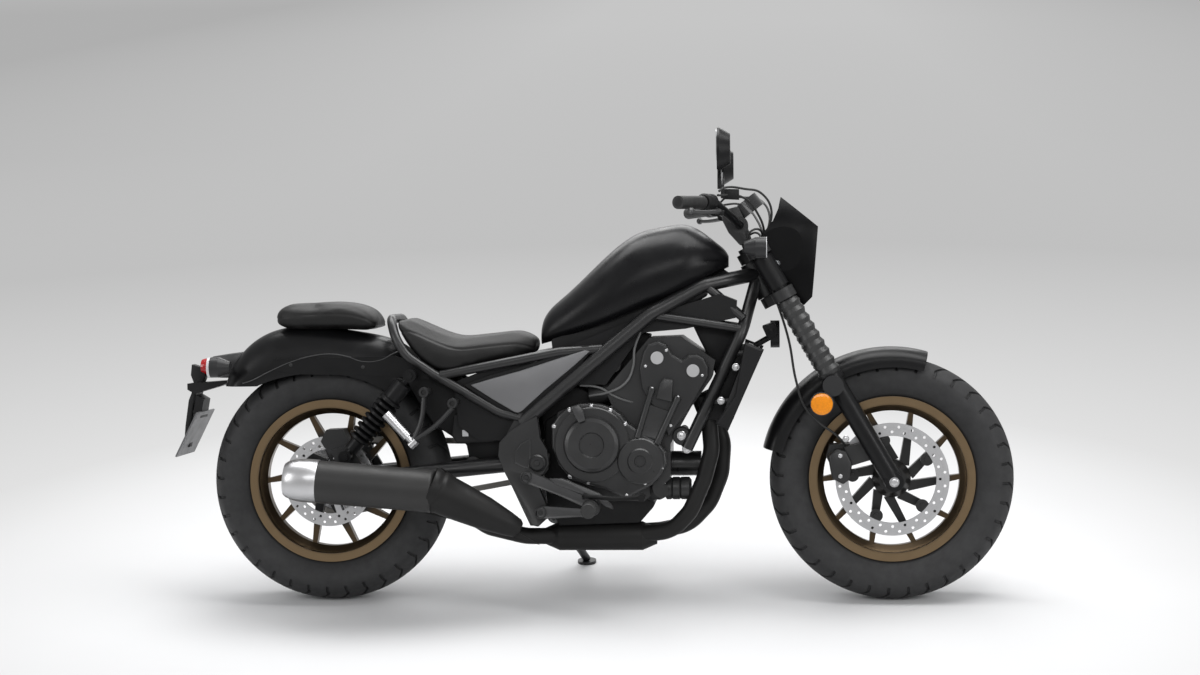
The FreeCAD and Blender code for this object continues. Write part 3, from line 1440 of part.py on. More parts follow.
brake_pedal = feature("brake_pedal", make_foot_lever(BRAKE_PEDAL_SHARES))
gear_lever = feature("gear_lever", make_foot_lever(GEAR_LEVER_SHARES))
foot_levers = cleared("foot_levers", gathered("foot_lever_pair", [brake_pedal, gear_lever]),
                      [footrests, engine_covers])

STAND_PIVOT = spot(0.392, 1.107, 0.2322)
STAND_REACH_SHARES = (0.440, 2.214)
STAND_FOLDED = Vector(-0.985, 0.12, 0.12)
STAND_SEAT_SHARES = (0.372, 0.92, 0.262)


def road_up():
    """The road's upward direction, seen from the upright machine."""
    lean = math.radians(A.lean.number)
    return Vector(0, -math.sin(lean), math.cos(lean))


def road_height(across):
    """The road's height under a place beside the leaning machine."""
    lean = math.radians(A.lean.number)
    lift = float(L.crown_radius) * (1 - math.cos(lean))
    return (across * math.sin(lean) - lift) / math.cos(lean)


STAND_X = float(L.wheelbase) * STAND_REACH_SHARES[0]
STAND_Y = float(L.frame_half_width) * STAND_REACH_SHARES[1]
STAND_FOOT = Vector(STAND_X, STAND_Y, road_height(STAND_Y))
STAND_AXIS = (STAND_FOOT - STAND_PIVOT).cross(STAND_FOLDED).normalize()


def make_side_stand():
    """Leg, pivot eye and a foot that lies flat on the road."""
    half = STAND_AXIS * float(L.stand_rod_radius)
    eye = rod(STAND_PIVOT - half, STAND_PIVOT + half, L.stand_eye_radius)
    up = road_up()
    sole = rod(STAND_FOOT, STAND_FOOT + up * float(L.stand_foot_thickness), L.stand_foot_radius)
    leg = rod(STAND_PIVOT, STAND_FOOT + up * float(L.stand_rod_radius), L.stand_rod_radius)
    lean_trim = rod(STAND_FOOT - up * float(L.stand_foot_radius), STAND_FOOT, L.stand_foot_radius)
    bolt_way = rod(STAND_PIVOT - half * 2, STAND_PIVOT + half * 2, L.stand_bolt_radius + L.rest_gap)
    return joined([eye, leg, sole]).cut(lean_trim).cut(bolt_way)


def make_stand_bracket():
    """The lug under the left pivot plate, with the stand's bolt."""
    gap = float(L.rest_gap)
    half = float(L.stand_rod_radius)
    near = STAND_PIVOT - STAND_AXIS * (half + gap)
    far = near - STAND_AXIS * float(L.stand_lug_thickness)
    lug = rod(near, far, L.stand_eye_radius)
    bolt = rod(far, STAND_PIVOT + STAND_AXIS * (half + gap), L.stand_bolt_radius)
    head_start = STAND_PIVOT + STAND_AXIS * (half + gap)
    head = rod(head_start, head_start + STAND_AXIS * float(L.stand_lug_thickness / 2), L.stand_bolt_radius * 1.7)
    arm = rod((near + far) * 0.5, spot(*STAND_SEAT_SHARES), L.stand_arm_radius)
    room = rod(near, head_start, L.stand_eye_radius * 1.6)
    return joined([joined([lug, arm]).cut(room), bolt, head])


side_stand = feature("side_stand", make_side_stand())
fused("frame_left", [frame_left, feature("stand_bracket", make_stand_bracket())])

PILLION_BRACKET_SHARES = [(0.180, 0.652), (0.192, 0.682), (0.205, 0.667), (0.252, 0.621), (0.240, 0.578),
                          (0.180, 0.464), (0.156, 0.470), (0.160, 0.490)]
PILLION_PEG_SHARES = (0.1678, 1.46, 0.480)
PILLION_FOLD = Vector(-0.676, 0, 0.737)


def pillion_frame(side):
    """Hinge frame: X along the pin, Y to the left, Z along the folded peg."""
    place = spot(PILLION_PEG_SHARES[0], PILLION_PEG_SHARES[1] * side, PILLION_PEG_SHARES[2])
    pin = LEFT.cross(PILLION_FOLD).normalize()
    turn_by = Rotation(pin, LEFT, PILLION_FOLD, "ZXY")
    return Placement(place, turn_by)


def make_pillion_bracket(side):
    """Plate on the seat frame, a boss out to the clevis, and the clevis with its pin."""
    name = "left" if side > 0 else "right"
    body = new_body(f"pillion_plate_{name}", SIDE)
    inner = L.frame_half_width * 0.92 + L.rail_tube_radius / 2
    start = inner if side < 0 else -inner - L.bracket_thickness
    pad(body, outline(PILLION_BRACKET_SHARES), start, L.bracket_thickness)
    half = float(L.pillion_knuckle_radius)
    ear_gap = half + float(L.rest_gap)
    ear = float(L.pillion_ear_thickness)
    base_near = float(L.pillion_knuckle_radius) + float(L.pillion_base_gap)
    shapes = []
    for ear_side in BOTH_SIDES:
        low_x = ear_gap if ear_side > 0 else -ear_gap - ear
        shapes.append(Part.makeBox(ear, half + base_near + ear, half * 2, Vector(low_x, -half, -half)))
    shapes.append(Part.makeBox((ear_gap + ear) * 2, ear, half * 2, Vector(-ear_gap - ear, base_near, -half)))
    shapes.append(rod(Vector(-ear_gap - ear, 0, 0), Vector(ear_gap + ear, 0, 0), L.pillion_pin_radius))
    clevis = joined(shapes)
    if side > 0:
        clevis = clevis.mirror(Vector(), LEFT)
    clevis.Placement = pillion_frame(side)
    x_share, y_share, z_share = PILLION_PEG_SHARES
    hinge = spot(x_share, y_share * side, z_share)
    plate_face = float(inner + L.bracket_thickness) * side
    seat = Vector(hinge.x, plate_face, hinge.z)
    boss_end = Vector(hinge.x, hinge.y - (base_near + ear / 2) * side, hinge.z)
    boss = rod(seat, boss_end, L.pillion_knuckle_radius)
    fork_end = feature(f"pillion_clevis_{name}", joined([clevis, boss]))
    return fused(f"pillion_bracket_{name}_whole", [body, fork_end])


def make_pillion_peg(side):
    """A folding peg, drawn folded."""
    half = float(L.pillion_knuckle_radius)
    knuckle = rod(Vector(-half, 0, 0), Vector(half, 0, 0), L.pillion_knuckle_radius)
    neck_end = Vector(0, 0, half * 2)
    neck = rod(Vector(), neck_end, L.pillion_knuckle_radius * 0.8)
    grip = rod(neck_end, Vector(0, 0, float(L.pillion_peg_length)), L.pillion_peg_radius)
    peg = joined([knuckle, neck, grip])
    peg = peg.cut(rod(Vector(-half * 2, 0, 0), Vector(half * 2, 0, 0), L.pillion_pin_radius + L.rest_gap))
    peg.Placement = pillion_frame(side)
    return peg


pillion_bracket_pair = []
for name, side in HEAD_SIDES:
    pillion_bracket_pair.append(make_pillion_bracket(side))
    feature(f"pillion_peg_{name}", make_pillion_peg(side))
cleared("pillion_brackets", gathered("pillion_bracket_pair", pillion_bracket_pair), [rear_shocks, muffler, seat_frame])


# Fork

STEER_FRAME = Placement(HEAD_FOOT, Rotation(LEFT, -A.rake.number))
STEER = UPRIGHT.multiply(STEER_FRAME)
FORK_LEAN = math.tan(math.radians(FORK_ANGLE - A.rake.number))


def fork_in_steer(height, side):
    """The middle of a fork tube at a height above the foot of the head tube, in the steering frame."""
    return Vector(float(L.fork_offset) - height * FORK_LEAN, float(L.fork_pitch) / 2 * side, height)


WEB_BACK_SHARE = 0.6
WEB_SIDE_SHARE = 0.8
WEB_LUG_SHARE = 0.35
WEB_WAIST_SHARE = 0.6
WEB_FRONT_SHARE = 0.9


def make_clamp(bottom):
    """One fork clamp: a web across two bored lugs and the stem's boss."""
    thick = float(L.clamp_thickness)
    lug = float(L.fork_tube_radius + L.clamp_wall)
    boss = float(L.stem_radius + L.clamp_wall)
    centre_x = fork_in_steer(bottom + thick / 2, 1).x
    reach = float(L.fork_pitch) / 2
    left = [Vector(-boss * WEB_BACK_SHARE, boss * WEB_SIDE_SHARE, bottom),
            Vector(centre_x - lug * WEB_LUG_SHARE, reach - lug * WEB_WAIST_SHARE, bottom),
            Vector(centre_x + lug * WEB_FRONT_SHARE, reach, bottom), Vector(boss, boss, bottom)]
    right = [Vector(point.x, -point.y, point.z) for point in reversed(left)]
    shapes = [Part.Face(Part.makePolygon(left + right + left[:1])).extrude(UP * thick)]
    shapes.append(rod(Vector(0, 0, bottom), Vector(0, 0, bottom + thick), boss))
    for side in BOTH_SIDES:
        shapes.append(rod(Vector(centre_x, reach * side, bottom), Vector(centre_x, reach * side, bottom + thick),
                          lug))
    whole = joined(shapes)
    for side in BOTH_SIDES:
        low = fork_in_steer(bottom - thick, side)
        high = fork_in_steer(bottom + thick * 2, side)
        whole = whole.cut(rod(low, high, L.fork_tube_radius))
    return whole


LOWER_CLAMP_FOOT = -float(L.clamp_thickness + L.head_bearing_gap)
UPPER_CLAMP_FOOT = float(L.head_tube_length + L.head_bearing_gap)


def make_triple_clamps():
    """Both clamps and the stem between them."""
    stem = rod(Vector(0, 0, LOWER_CLAMP_FOOT), Vector(0, 0, UPPER_CLAMP_FOOT), L.stem_radius)
    nut_foot = Vector(0, 0, UPPER_CLAMP_FOOT + float(L.clamp_thickness))
    nut = rod(nut_foot, nut_foot + UP * float(L.axle_nut_height), L.axle_nut_radius)
    return joined([make_clamp(LOWER_CLAMP_FOOT), make_clamp(UPPER_CLAMP_FOOT), stem, nut])


fork_clamps = feature("fork_clamps", make_triple_clamps(), STEER)


def along_fork(height, side):
    """A place on a fork tube's middle line, in the fork frame."""
    return Vector(0, float(L.fork_pitch) / 2 * side, height)


CLAMP_FOOT_HEIGHT = float(D.lower_clamp_height) - float(L.clamp_thickness + L.head_bearing_gap)
GAITER_TOP = CLAMP_FOOT_HEIGHT - float(L.gaiter_clearance)
GAITER_FOOT = GAITER_TOP - float(L.gaiter_length)
FORK_TOP = float(D.lower_clamp_height) + float(L.head_tube_length + L.head_bearing_gap + L.clamp_thickness
                                               + L.fork_cap_height)


def make_fork_tube(side):
    """The plated tube from the slider up through both clamps."""
    return rod(along_fork(GAITER_FOOT, side), along_fork(FORK_TOP, side), L.fork_tube_radius)


def make_slider(side):
    """The lower leg with its axle lug."""
    leg = rod(along_fork(0, side), along_fork(GAITER_FOOT, side), L.slider_radius)
    collar = rod(along_fork(GAITER_FOOT - float(L.slider_collar), side), along_fork(GAITER_FOOT, side),
                 L.slider_radius + L.clamp_wall / 3)
    half = LEFT * float(L.axle_lug_width / 2)
    centre = along_fork(0, side)
    lug = rod(centre - half, centre + half, L.axle_lug_radius)
    whole = joined([leg, collar, lug])
    hole = rod(centre - half * 2, centre + half * 2, L.front_axle_radius + L.front_axle_bore_wall)
    return whole.cut(hole)


def make_gaiter(side):
    """A ribbed rubber boot round the tube."""
    ribs = int(N.gaiter_ribs.number)
    pitch = float(L.gaiter_length) / ribs
    outer = float(L.gaiter_radius)
    groove = outer - float(L.gaiter_groove)
    bore = float(L.fork_tube_radius)
    profile = [Vector(bore, 0, 0), Vector(groove, 0, 0)]
    for rib in range(ribs):
        profile.append(Vector(outer, 0, pitch * (rib + 0.5)))
        profile.append(Vector(groove, 0, pitch * (rib + 1)))
    profile.append(Vector(bore, 0, float(L.gaiter_length)))
    profile.append(profile[0])
    boot = Part.Face(Part.makePolygon(profile)).revolve(Vector(), UP, 360)
    boot.translate(along_fork(GAITER_FOOT, side))
    return boot


def make_fork_cover(side):
    """The dark sleeve between the clamps."""
    low = float(D.lower_clamp_height) + float(L.clamp_clearance)
    high = float(D.lower_clamp_height) + float(L.head_tube_length) - float(L.clamp_clearance)
    sleeve = rod(along_fork(low, side), along_fork(high, side), L.fork_cover_radius)
    return sleeve.cut(rod(along_fork(low - high, side), along_fork(high * 2, side), L.fork_tube_radius))


def pair(label, maker, place=FORK):
    """A left and a right piece in one sub-part."""
    return feature(label, Part.makeCompound([maker(side) for side in BOTH_SIDES]), place)


fork_tube_pair = pair("fork_tube_pair", make_fork_tube)
fork_sliders = pair("fork_sliders", make_slider)
fork_gaiters = pair("fork_gaiters", make_gaiter)
fork_tubes = fused("fork_tubes", [fork_tube_pair, pair("fork_cover_pair", make_fork_cover)])

FRONT_CALIPER_SHARES = [(0.893, 0.395), (0.884, 0.425), (0.890, 0.460), (0.925, 0.462), (0.935, 0.440),
                        (0.925, 0.375), (0.905, 0.350)]
CALIPER_ARM_SHARES = [(0.915, 0.455), (0.955, 0.470), (0.965, 0.420), (0.925, 0.400)]
front_caliper_body = new_body("front_caliper_body", SIDE)
front_caliper_start = L.front_hub_width / 2 + L.disc_thickness / 2 - L.caliper_depth * 0.42
pad(front_caliper_body, outline(FRONT_CALIPER_SHARES), front_caliper_start, L.caliper_depth)
arm_start = front_caliper_start + L.caliper_depth * 0.6
pad(front_caliper_body, outline(CALIPER_ARM_SHARES), arm_start, L.fork_pitch / 2 - arm_start)
round_pad(front_caliper_body, (L.wheelbase, L.front_tyre_radius), L.front_disc_radius + L.cut_overrun,
          L.front_hub_width / 2 - L.cut_overrun * 2, L.disc_thickness + L.cut_overrun * 4, cut=True)
front_caliper = cleared("front_caliper", front_caliper_body, [fork_sliders])


# Bars and controls

BAR_SHARES = [(0.7365, 0.0, 1.100), (0.7365, 0.60, 1.100), (0.6950, 1.72, 1.159), (0.6370, 2.88, 1.153)]
BAR = spots(BAR_SHARES)


def bar_route(side):
    """The bar's places on one side."""
    return spots(BAR_SHARES, side)


def bar_end(side, distance):
    """A place on the grip run, measured in from the bar's end."""
    inner, outer = bar_route(side)[-2:]
    return outer + (inner - outer).normalize() * float(distance)


def make_handlebar():
    """One bent tube from grip to grip."""
    left = bar_route(1)
    right = bar_route(-1)
    return tube(left[:0:-1] + right[1:], L.bar_radius, L.bar_bend)


def ring_on_bar(side, near, length, radius):
    """A hollow piece on the grip run."""
    start = bar_end(side, near)
    stop = bar_end(side, near + length)
    overrun = (stop - start).normalize() * float(L.cut_overrun)
    return rod(start, stop, radius).cut(rod(start - overrun, stop + overrun, L.bar_radius))


def make_grip(side):
    """A rubber grip over the end of the bar."""
    return ring_on_bar(side, as_size(0), L.grip_length, L.grip_radius)


def make_switch(side):
    """Switch housing, and the lever's perch with the mirror's boss."""
    gap = L.rest_gap
    starts = [bar_end(side, L.grip_length + gap + run) for run in (0, L.switch_length, L.switch_length + L.perch_length)]
    housing = rod(starts[0], starts[1], L.switch_radius)
    perch = rod(starts[1], starts[2], L.perch_radius)
    middle = bar_end(side, L.grip_length + L.switch_length + L.perch_length / 2)
    boss_foot = middle + vector(L.perch_radius * 0.8, 0, 0)
    boss = rod(boss_foot, boss_foot + UP * float(L.mirror_boss_height), L.mirror_boss_radius)
    return joined([housing, perch, boss])


def make_lever(side):
    """The hand lever in front of the grip."""
    middle = bar_end(side, L.grip_length + L.switch_length + L.perch_length / 2)
    ahead = (bar_end(side, as_size(0)) - middle).normalize().cross(UP) * -side
    root = middle + ahead * float(L.perch_radius * 0.8)
    knuckle = root + ahead * float(L.lever_reach / 2)
    tip = bar_end(side, -L.lever_radius) + ahead * float(L.lever_reach)
    elbow = bar_end(side, L.grip_length) + ahead * float(L.lever_reach * 1.1)
    return tube([root, knuckle, elbow, tip], L.lever_radius, L.lever_bend)


def make_mirror(side):
    """A round mirror on a bent stem."""
    middle = bar_end(side, L.grip_length + L.switch_length + L.perch_length / 2)
    foot = middle + vector(L.perch_radius * 0.8, 0, L.mirror_boss_height)
    head = spot(0.7060, 2.62 * side, 1.300)
    bend = foot + UP * float(L.mirror_stem_rise)
    stem = tube([foot, bend, head], L.mirror_stem_radius, L.mirror_stem_rise / 2)
    face = Vector(-1, 0, 0)
    shell = Part.makeCone(float(L.mirror_radius), float(L.mirror_radius * 0.7), float(L.mirror_depth), head,
                          FORWARD)
    shell = shell.fuse(rod(head, head + face * float(L.fender_wall * 2), L.mirror_radius))
    return joined([stem, shell])


handlebar = feature("handlebar", make_handlebar())
grips = pair("grips", make_grip, UPRIGHT)
RESERVOIR_SHARES = (0.708, -1.64, 1.165)


def make_reservoir():
    """The front brake's reservoir, on the right perch."""
    wide = float(L.reservoir_size)
    corner = spot(*RESERVOIR_SHARES) - vector(wide / 2, wide / 2, 0)
    return Part.makeBox(wide, wide, float(L.reservoir_height), corner)


switch_pair = pair("switch_pair", make_switch, UPRIGHT)
reservoir = feature("reservoir", make_reservoir())
hand_lever_pair = pair("hand_lever_pair", make_lever, UPRIGHT)
switchgear_whole = fused("switchgear_whole", [switch_pair, reservoir, hand_lever_pair])
switchgear = cleared("switchgear", switchgear_whole, [handlebar])
mirrors = cleared("mirrors", pair("mirror_pair", make_mirror, UPRIGHT), [switchgear])


def make_riser(side):
    """A post from the upper clamp with a cap round the bar."""
    top = BAR[0] + LEFT * (float(L.riser_offset) * side)
    stem_top = HEAD_FOOT + steering_direction() * (UPPER_CLAMP_FOOT + float(L.clamp_thickness))
    foot = stem_top + LEFT * (float(L.riser_offset) * side)
    foot = foot + steering_direction().cross(LEFT) * -float(L.fork_offset * 0.35)
    post = rod(foot, top, L.riser_radius)
    half = LEFT * float(L.riser_radius)
    cap = rod(top - half, top + half, L.bar_radius + L.clamp_wall)
    return joined([post, cap])


clamps_and_risers = fused("clamps_and_risers", [fork_clamps, pair("bar_riser_pair", make_riser, UPRIGHT)])
triple_clamps = cleared("triple_clamps", clamps_and_risers, [handlebar, fork_tubes])

GAUGE_FOOT = spot(0.752, 0, 1.128)
GAUGE_AXIS = Vector(-0.62, 0, 0.78)
gauge_case = feature("gauge_case", rod(GAUGE_FOOT, GAUGE_FOOT + GAUGE_AXIS * float(L.gauge_depth), L.gauge_radius))
gauge = cleared("gauge", gauge_case, [triple_clamps, handlebar])


# Headlamp and its cowl

HEADLIGHT_BACK_SHARES = (0.8095, 0.9870)
HEADLIGHT_EAR_SHARES = ((0.822, 0.43, 0.987), (0.792, 0.77, 0.987))
COWL_SIDE_SHARES = [(0.8087, 1.1800), (0.8732, 1.0922), (0.8624, 0.8889), (0.8477, 0.8644), (0.8221, 0.9022),
                    (0.7846, 1.0211), (0.7785, 1.0778), (0.7946, 1.1100), (0.8047, 1.1478)]
COWL_FACE_SHARES = [(0.60, 0.855), (0.84, 0.905), (0.97, 0.965), (1.0, 1.030), (0.97, 1.090), (0.80, 1.145),
                    (0.50, 1.190)]
COWL_DEPTH_SHARES = [(0.770, 1.0), (0.845, 1.0), (0.866, 0.93), (0.885, 0.80)]


def cowl_face(x_share, scale, inset):
    """An upright section of the cowl, round at its sides."""
    x = float(L.wheelbase) * x_share
    middle = float(L.frame_height) * HEADLIGHT_BACK_SHARES[1]
    left = []
    for wide, level in COWL_FACE_SHARES:
        height = middle + (float(L.frame_height) * level - middle) * scale
        left.append(Vector(x, float(L.cowl_half_width) * wide * scale - inset, height))
    right = [Vector(point.x, -point.y, point.z) for point in reversed(left)]
    edges = []
    for run in (left, right):
        curve = Part.BSplineCurve()
        curve.interpolate(run)
        edges.append(curve.toShape())
    edges.insert(1, Part.LineSegment(left[-1], right[0]).toShape())
    edges.append(Part.LineSegment(right[-1], left[0]).toShape())
    return Part.Wire(edges)


def cowl_form(inset):
    """The cowl's solid form, drawn in by an inset and moved back by the same."""
    body = skin([cowl_face(x_share, scale, inset) for x_share, scale in COWL_DEPTH_SHARES])
    reach = LEFT * float(L.cowl_half_width)
    side = Part.makePolygon([spot(x, 0, z) - reach for x, z in COWL_SIDE_SHARES + COWL_SIDE_SHARES[:1]])
    profile = Part.Face(side).extrude(reach * 2)
    profile.translate(Vector(-inset, 0, -inset / 2))
    return body.common(profile)


def make_cowl():
    """A shell open at the back, with a round window for the lamp."""
    shell = cowl_form(0).cut(cowl_form(float(L.cowl_wall)))
    x_share, z_share = HEADLIGHT_BACK_SHARES
    centre = spot(x_share, 0, z_share)
    window = rod(centre, centre + FORWARD * float(L.wheelbase) * 0.2, L.headlight_radius + L.rest_gap)
    return shell.cut(window)


def make_headlight():
    """A round lamp with a domed lens and a bowl behind."""
    x_share, z_share = HEADLIGHT_BACK_SHARES
    centre = spot(x_share, 0, z_share)
    radius = float(L.headlight_radius)
    depth = float(L.headlight_depth)
    bowl = Part.makeCone(radius * 0.55, radius, depth * 0.45, centre, FORWARD)
    drum = rod(centre + FORWARD * (depth * 0.45), centre + FORWARD * (depth * 0.88), radius)
    dome_radius = (radius * radius + (depth * 0.12) ** 2) / (2 * depth * 0.12)
    ball = Part.makeSphere(dome_radius, centre + FORWARD * (depth - dome_radius))
    lens = ball.common(rod(centre + FORWARD * (depth * 0.88), centre + FORWARD * (depth * 1.2), radius))
    return joined([bowl, drum, lens])


def make_headlight_ear(side):
    """The stay from the lamp's bowl to one fork cover."""
    start, stop = spots(HEADLIGHT_EAR_SHARES, side)
    return rod(start, stop, L.headlight_ear_radius)


headlight_parts = [make_headlight()] + [make_headlight_ear(side) for side in BOTH_SIDES]
headlight = cleared("headlight", feature("headlight_whole", joined(headlight_parts)), [fork_tubes])
cowl = cleared("cowl", feature("cowl_shell", make_cowl()), [headlight, fork_tubes, triple_clamps])

front_lamps = []
for side in BOTH_SIDES:
    front_lamps.append(make_indicator(spot(0.7640, 1.38 * side, 1.031), FORWARD, spot(0.7640, 0.90 * side, 1.031)))
front_lamp_pair = feature("front_lamp_pair", Part.makeCompound(front_lamps))
front_indicators = cleared("front_indicators", front_lamp_pair, [fork_tubes, triple_clamps, cowl])


# Reservoir, hose, stays and reflectors on the fork

def make_reflector(side):
    """A round side reflector on its tab behind the slider."""
    centre = along_fork(GAITER_FOOT - float(L.slider_collar) * 1.6, side)
    centre = centre + vector(-L.slider_radius * 0.4, 0, 0) + LEFT * (float(L.slider_radius) * side)
    return rod(centre, centre + LEFT * (float(L.reflector_depth) * side), L.reflector_radius)


reflectors = cleared("reflectors", pair("reflector_pair", make_reflector), [fork_sliders, fork_gaiters])
gathered("front_signals", [front_indicators, reflectors])


def make_fender_stay(side):
    """The plate that joins the fender to a slider."""
    inner = float(L.front_fender_half_width)
    outer = float(L.fork_pitch / 2)
    low = GAITER_FOOT - float(L.slider_collar) * 3.0
    tall = float(L.slider_collar) * 2.4
    deep = float(L.slider_radius) * 1.6
    thin = float(L.fender_wall)
    start = inner - float(L.cut_overrun) * 3 if side > 0 else -outer
    web = Part.makeBox(deep, outer - inner + float(L.cut_overrun) * 3, thin * 2, Vector(-deep / 2, start, low + tall))
    return web


fender_whole = fused("fender_whole", [front_fender_shell, pair("fender_stays", make_fender_stay)])
front_fender = cleared("front_fender", fender_whole, [fork_sliders])

HOSE_SHARES = [(0.718, -1.60, 1.180), (0.765, -1.40, 1.205), (0.800, -1.25, 1.120), (0.826, -1.22, 0.950),
               (0.868, -1.26, 0.740), (0.905, -1.20, 0.560), (0.912, -0.95, 0.462)]
CLUTCH_CABLE_SHARES = [(0.700, 1.72, 1.165), (0.755, 1.30, 1.185), (0.776, 0.90, 1.130), (0.7577, 0.60, 1.0267)]
THROTTLE_CABLE_SHARES = [(0.700, -1.80, 1.150), (0.750, -1.35, 1.150), (0.772, -0.90, 1.100), (0.7577, -0.60, 1.0267)]

cable_runs = [tube(spots(shares), L.cable_radius) for shares in (CLUTCH_CABLE_SHARES, THROTTLE_CABLE_SHARES)]
cable_runs.append(tube(spots(HOSE_SHARES), L.hose_radius))
control_cables = cleared("control_cables", feature("control_cable_runs", Part.makeCompound(cable_runs)),
                         [switchgear, handlebar, triple_clamps, fork_tubes, front_caliper])


# Checks and files

SUBPARTS = (
    "front_tyre", "front_wheel", "front_disc", "front_axle", "rear_tyre", "rear_wheel", "rear_disc",
    "rear_sprocket", "rear_axle", "chain", "steering_head", "frame_left", "frame_right", "seat_frame",
    "swingarm", "crankcase", "cylinder_block", "engine_covers", "head_covers", "air_box", "electrics_tray",
    "side_panels", "fuel_tank", "rider_seat", "pillion_seat", "rear_fender", "radiator", "radiator_guards",
    "horn", "exhaust_pipes", "muffler", "rear_shocks", "fender_rails", "tail_light",
    "plate_bracket", "number_plate", "rear_indicators", "rear_caliper", "footrests", "foot_levers",
    "side_stand", "pillion_brackets", "pillion_peg_left", "pillion_peg_right", "front_fender",
    "triple_clamps", "fork_tubes", "fork_sliders", "fork_gaiters", "front_caliper",
    "handlebar", "grips", "switchgear", "mirrors", "gauge", "headlight",
    "cowl", "front_signals", "control_cables",
)


def check_states():
    """Stop at any feature that failed to rebuild."""
    failed = [item.Label for item in doc.Objects if "Invalid" in item.State or "Error" in item.State]
    if failed:
        raise RuntimeError(f"failed to rebuild: {failed}")


def write_parts():
    """Check each sub-part's shape and write its file."""
    os.makedirs("parts", exist_ok=True)
    shapes = {}
    for label in SUBPARTS:
        shape = doc.getObjectsByLabel(label)[0].Shape
        if shape.isNull() or not shape.isValid():
            raise RuntimeError(f"bad shape: {label}")
        shapes[label] = shape
    for label, shape in shapes.items():
        shape.exportStep(f"parts/{label}.step")


doc.recompute()
check_states()
write_parts()
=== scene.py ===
import json
import math

import bpy
from mathutils import Matrix, Vector


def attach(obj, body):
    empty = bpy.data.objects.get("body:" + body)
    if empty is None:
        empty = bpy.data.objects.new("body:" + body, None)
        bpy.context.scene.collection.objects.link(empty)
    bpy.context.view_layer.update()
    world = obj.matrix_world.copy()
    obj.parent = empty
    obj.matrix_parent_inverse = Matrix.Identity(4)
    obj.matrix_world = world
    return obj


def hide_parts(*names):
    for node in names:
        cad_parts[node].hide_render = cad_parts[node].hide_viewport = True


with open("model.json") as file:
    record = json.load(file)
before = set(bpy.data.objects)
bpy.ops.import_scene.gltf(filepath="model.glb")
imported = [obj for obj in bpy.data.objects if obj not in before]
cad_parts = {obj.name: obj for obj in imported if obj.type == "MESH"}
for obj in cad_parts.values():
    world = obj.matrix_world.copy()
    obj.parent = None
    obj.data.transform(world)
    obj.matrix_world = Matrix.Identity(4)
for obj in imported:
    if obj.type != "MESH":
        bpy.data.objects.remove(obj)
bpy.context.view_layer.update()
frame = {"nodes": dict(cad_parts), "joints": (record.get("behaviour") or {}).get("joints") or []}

# The machine's own frame: X forward, Y to its left, Z up, with the rear axle over the origin

joints = {joint["name"]: joint for joint in frame["joints"]}
FRONT_AXLE = Vector(joints["front_wheel_spin"]["pos_m"])
REAR_AXLE = Vector(joints["rear_wheel_spin"]["pos_m"])
AHEAD = Vector((1, 0, 0))
LEFT = Vector(joints["rear_wheel_spin"]["axis"]).normalized()
UP = AHEAD.cross(LEFT)
REAR_TYRE_RADIUS = 0.3217
FRONT_TYRE_RADIUS = 0.320
GROUND = REAR_AXLE - UP * REAR_TYRE_RADIUS
LEAN = math.atan2(LEFT.z, LEFT.y)
BIKE = Matrix.Translation(GROUND) @ Matrix((AHEAD, LEFT, UP)).transposed().to_4x4()
RIGHT = (0, -1, 0)
LEFTWARD = (0, 1, 0)
SIDES = ((-1, "right"), (1, "left"))


def on_bike(ahead, left, up):
    """A place given in the machine's own frame, in the shared frame."""
    return BIKE @ Vector((ahead, left, up))


# Materials

DULL = 0.22
MASK_EDGE = 0.0003
NOISE_LOW, NOISE_HIGH = 0.3, 0.7
NOISE_ROUGHNESS = 0.55
ORANGE_PEEL = 700
LENS_ROUGHNESS = 0.08
BLACK_CARRIER = (0.014, 0.014, 0.014)
TYRE_SHADES = ((0.012, 0.012, 0.0125), (0.024, 0.024, 0.025))
DISC_SHADES = ((0.46, 0.46, 0.47), (0.66, 0.66, 0.67))
VINYL_SHADES = ((0.003, 0.0029, 0.0029), (0.006, 0.0058, 0.0057))
RUBBER_SHADES = ((0.010, 0.010, 0.010), (0.022, 0.022, 0.022))
# The hub's black and the spokes' dark bronze are partly the wheel's own colours, partly painted shade on the
# inner spokes.
HUB_BLACK_AND_SHADE = ((0.009, 0.009, 0.009), (0.014, 0.014, 0.014))
SPOKE_BRONZE_AND_SHADE = (0.085, 0.060, 0.036)
RIM_BRONZE = (0.21, 0.148, 0.085)
RIM_FROM, RIM_FULL = 0.188, 0.200
SPOKE_BLEND = 0.010
DISC_BLEND = 0.001


def start_material(name):
    """A new material with its tree and shader."""
    material = bpy.data.materials.new(name)
    material.use_nodes = True
    tree = material.node_tree
    return material, tree, tree.nodes["Principled BSDF"]


def join(tree, source, target):
    """Link one node's output to another's input."""
    tree.links.new(source, target)


def place_vector(tree):
    """Object coordinates."""
    return tree.nodes.new("ShaderNodeTexCoord").outputs["Object"]


def noise(tree, scale, detail, vector=None):
    """Fractal noise over the surface."""
    node = tree.nodes.new("ShaderNodeTexNoise")
    node.inputs["Scale"].default_value = scale
    node.inputs["Detail"].default_value = detail
    node.inputs["Roughness"].default_value = NOISE_ROUGHNESS
    join(tree, vector or place_vector(tree), node.inputs["Vector"])
    return node.outputs["Fac"]


def cells(tree, scale, feature="F1"):
    """Voronoi cells, for grain and weave."""
    node = tree.nodes.new("ShaderNodeTexVoronoi")
    node.feature = feature
    node.inputs["Scale"].default_value = scale
    join(tree, place_vector(tree), node.inputs["Vector"])
    return node.outputs["Distance"]


def spread(tree, factor, low, high, first, last):
    """A factor mapped from low..high to first..last."""
    node = tree.nodes.new("ShaderNodeMapRange")
    node.inputs["From Min"].default_value = low
    node.inputs["From Max"].default_value = high
    node.inputs["To Min"].default_value = first
    node.inputs["To Max"].default_value = last
    join(tree, factor, node.inputs["Value"])
    return node.outputs["Result"]


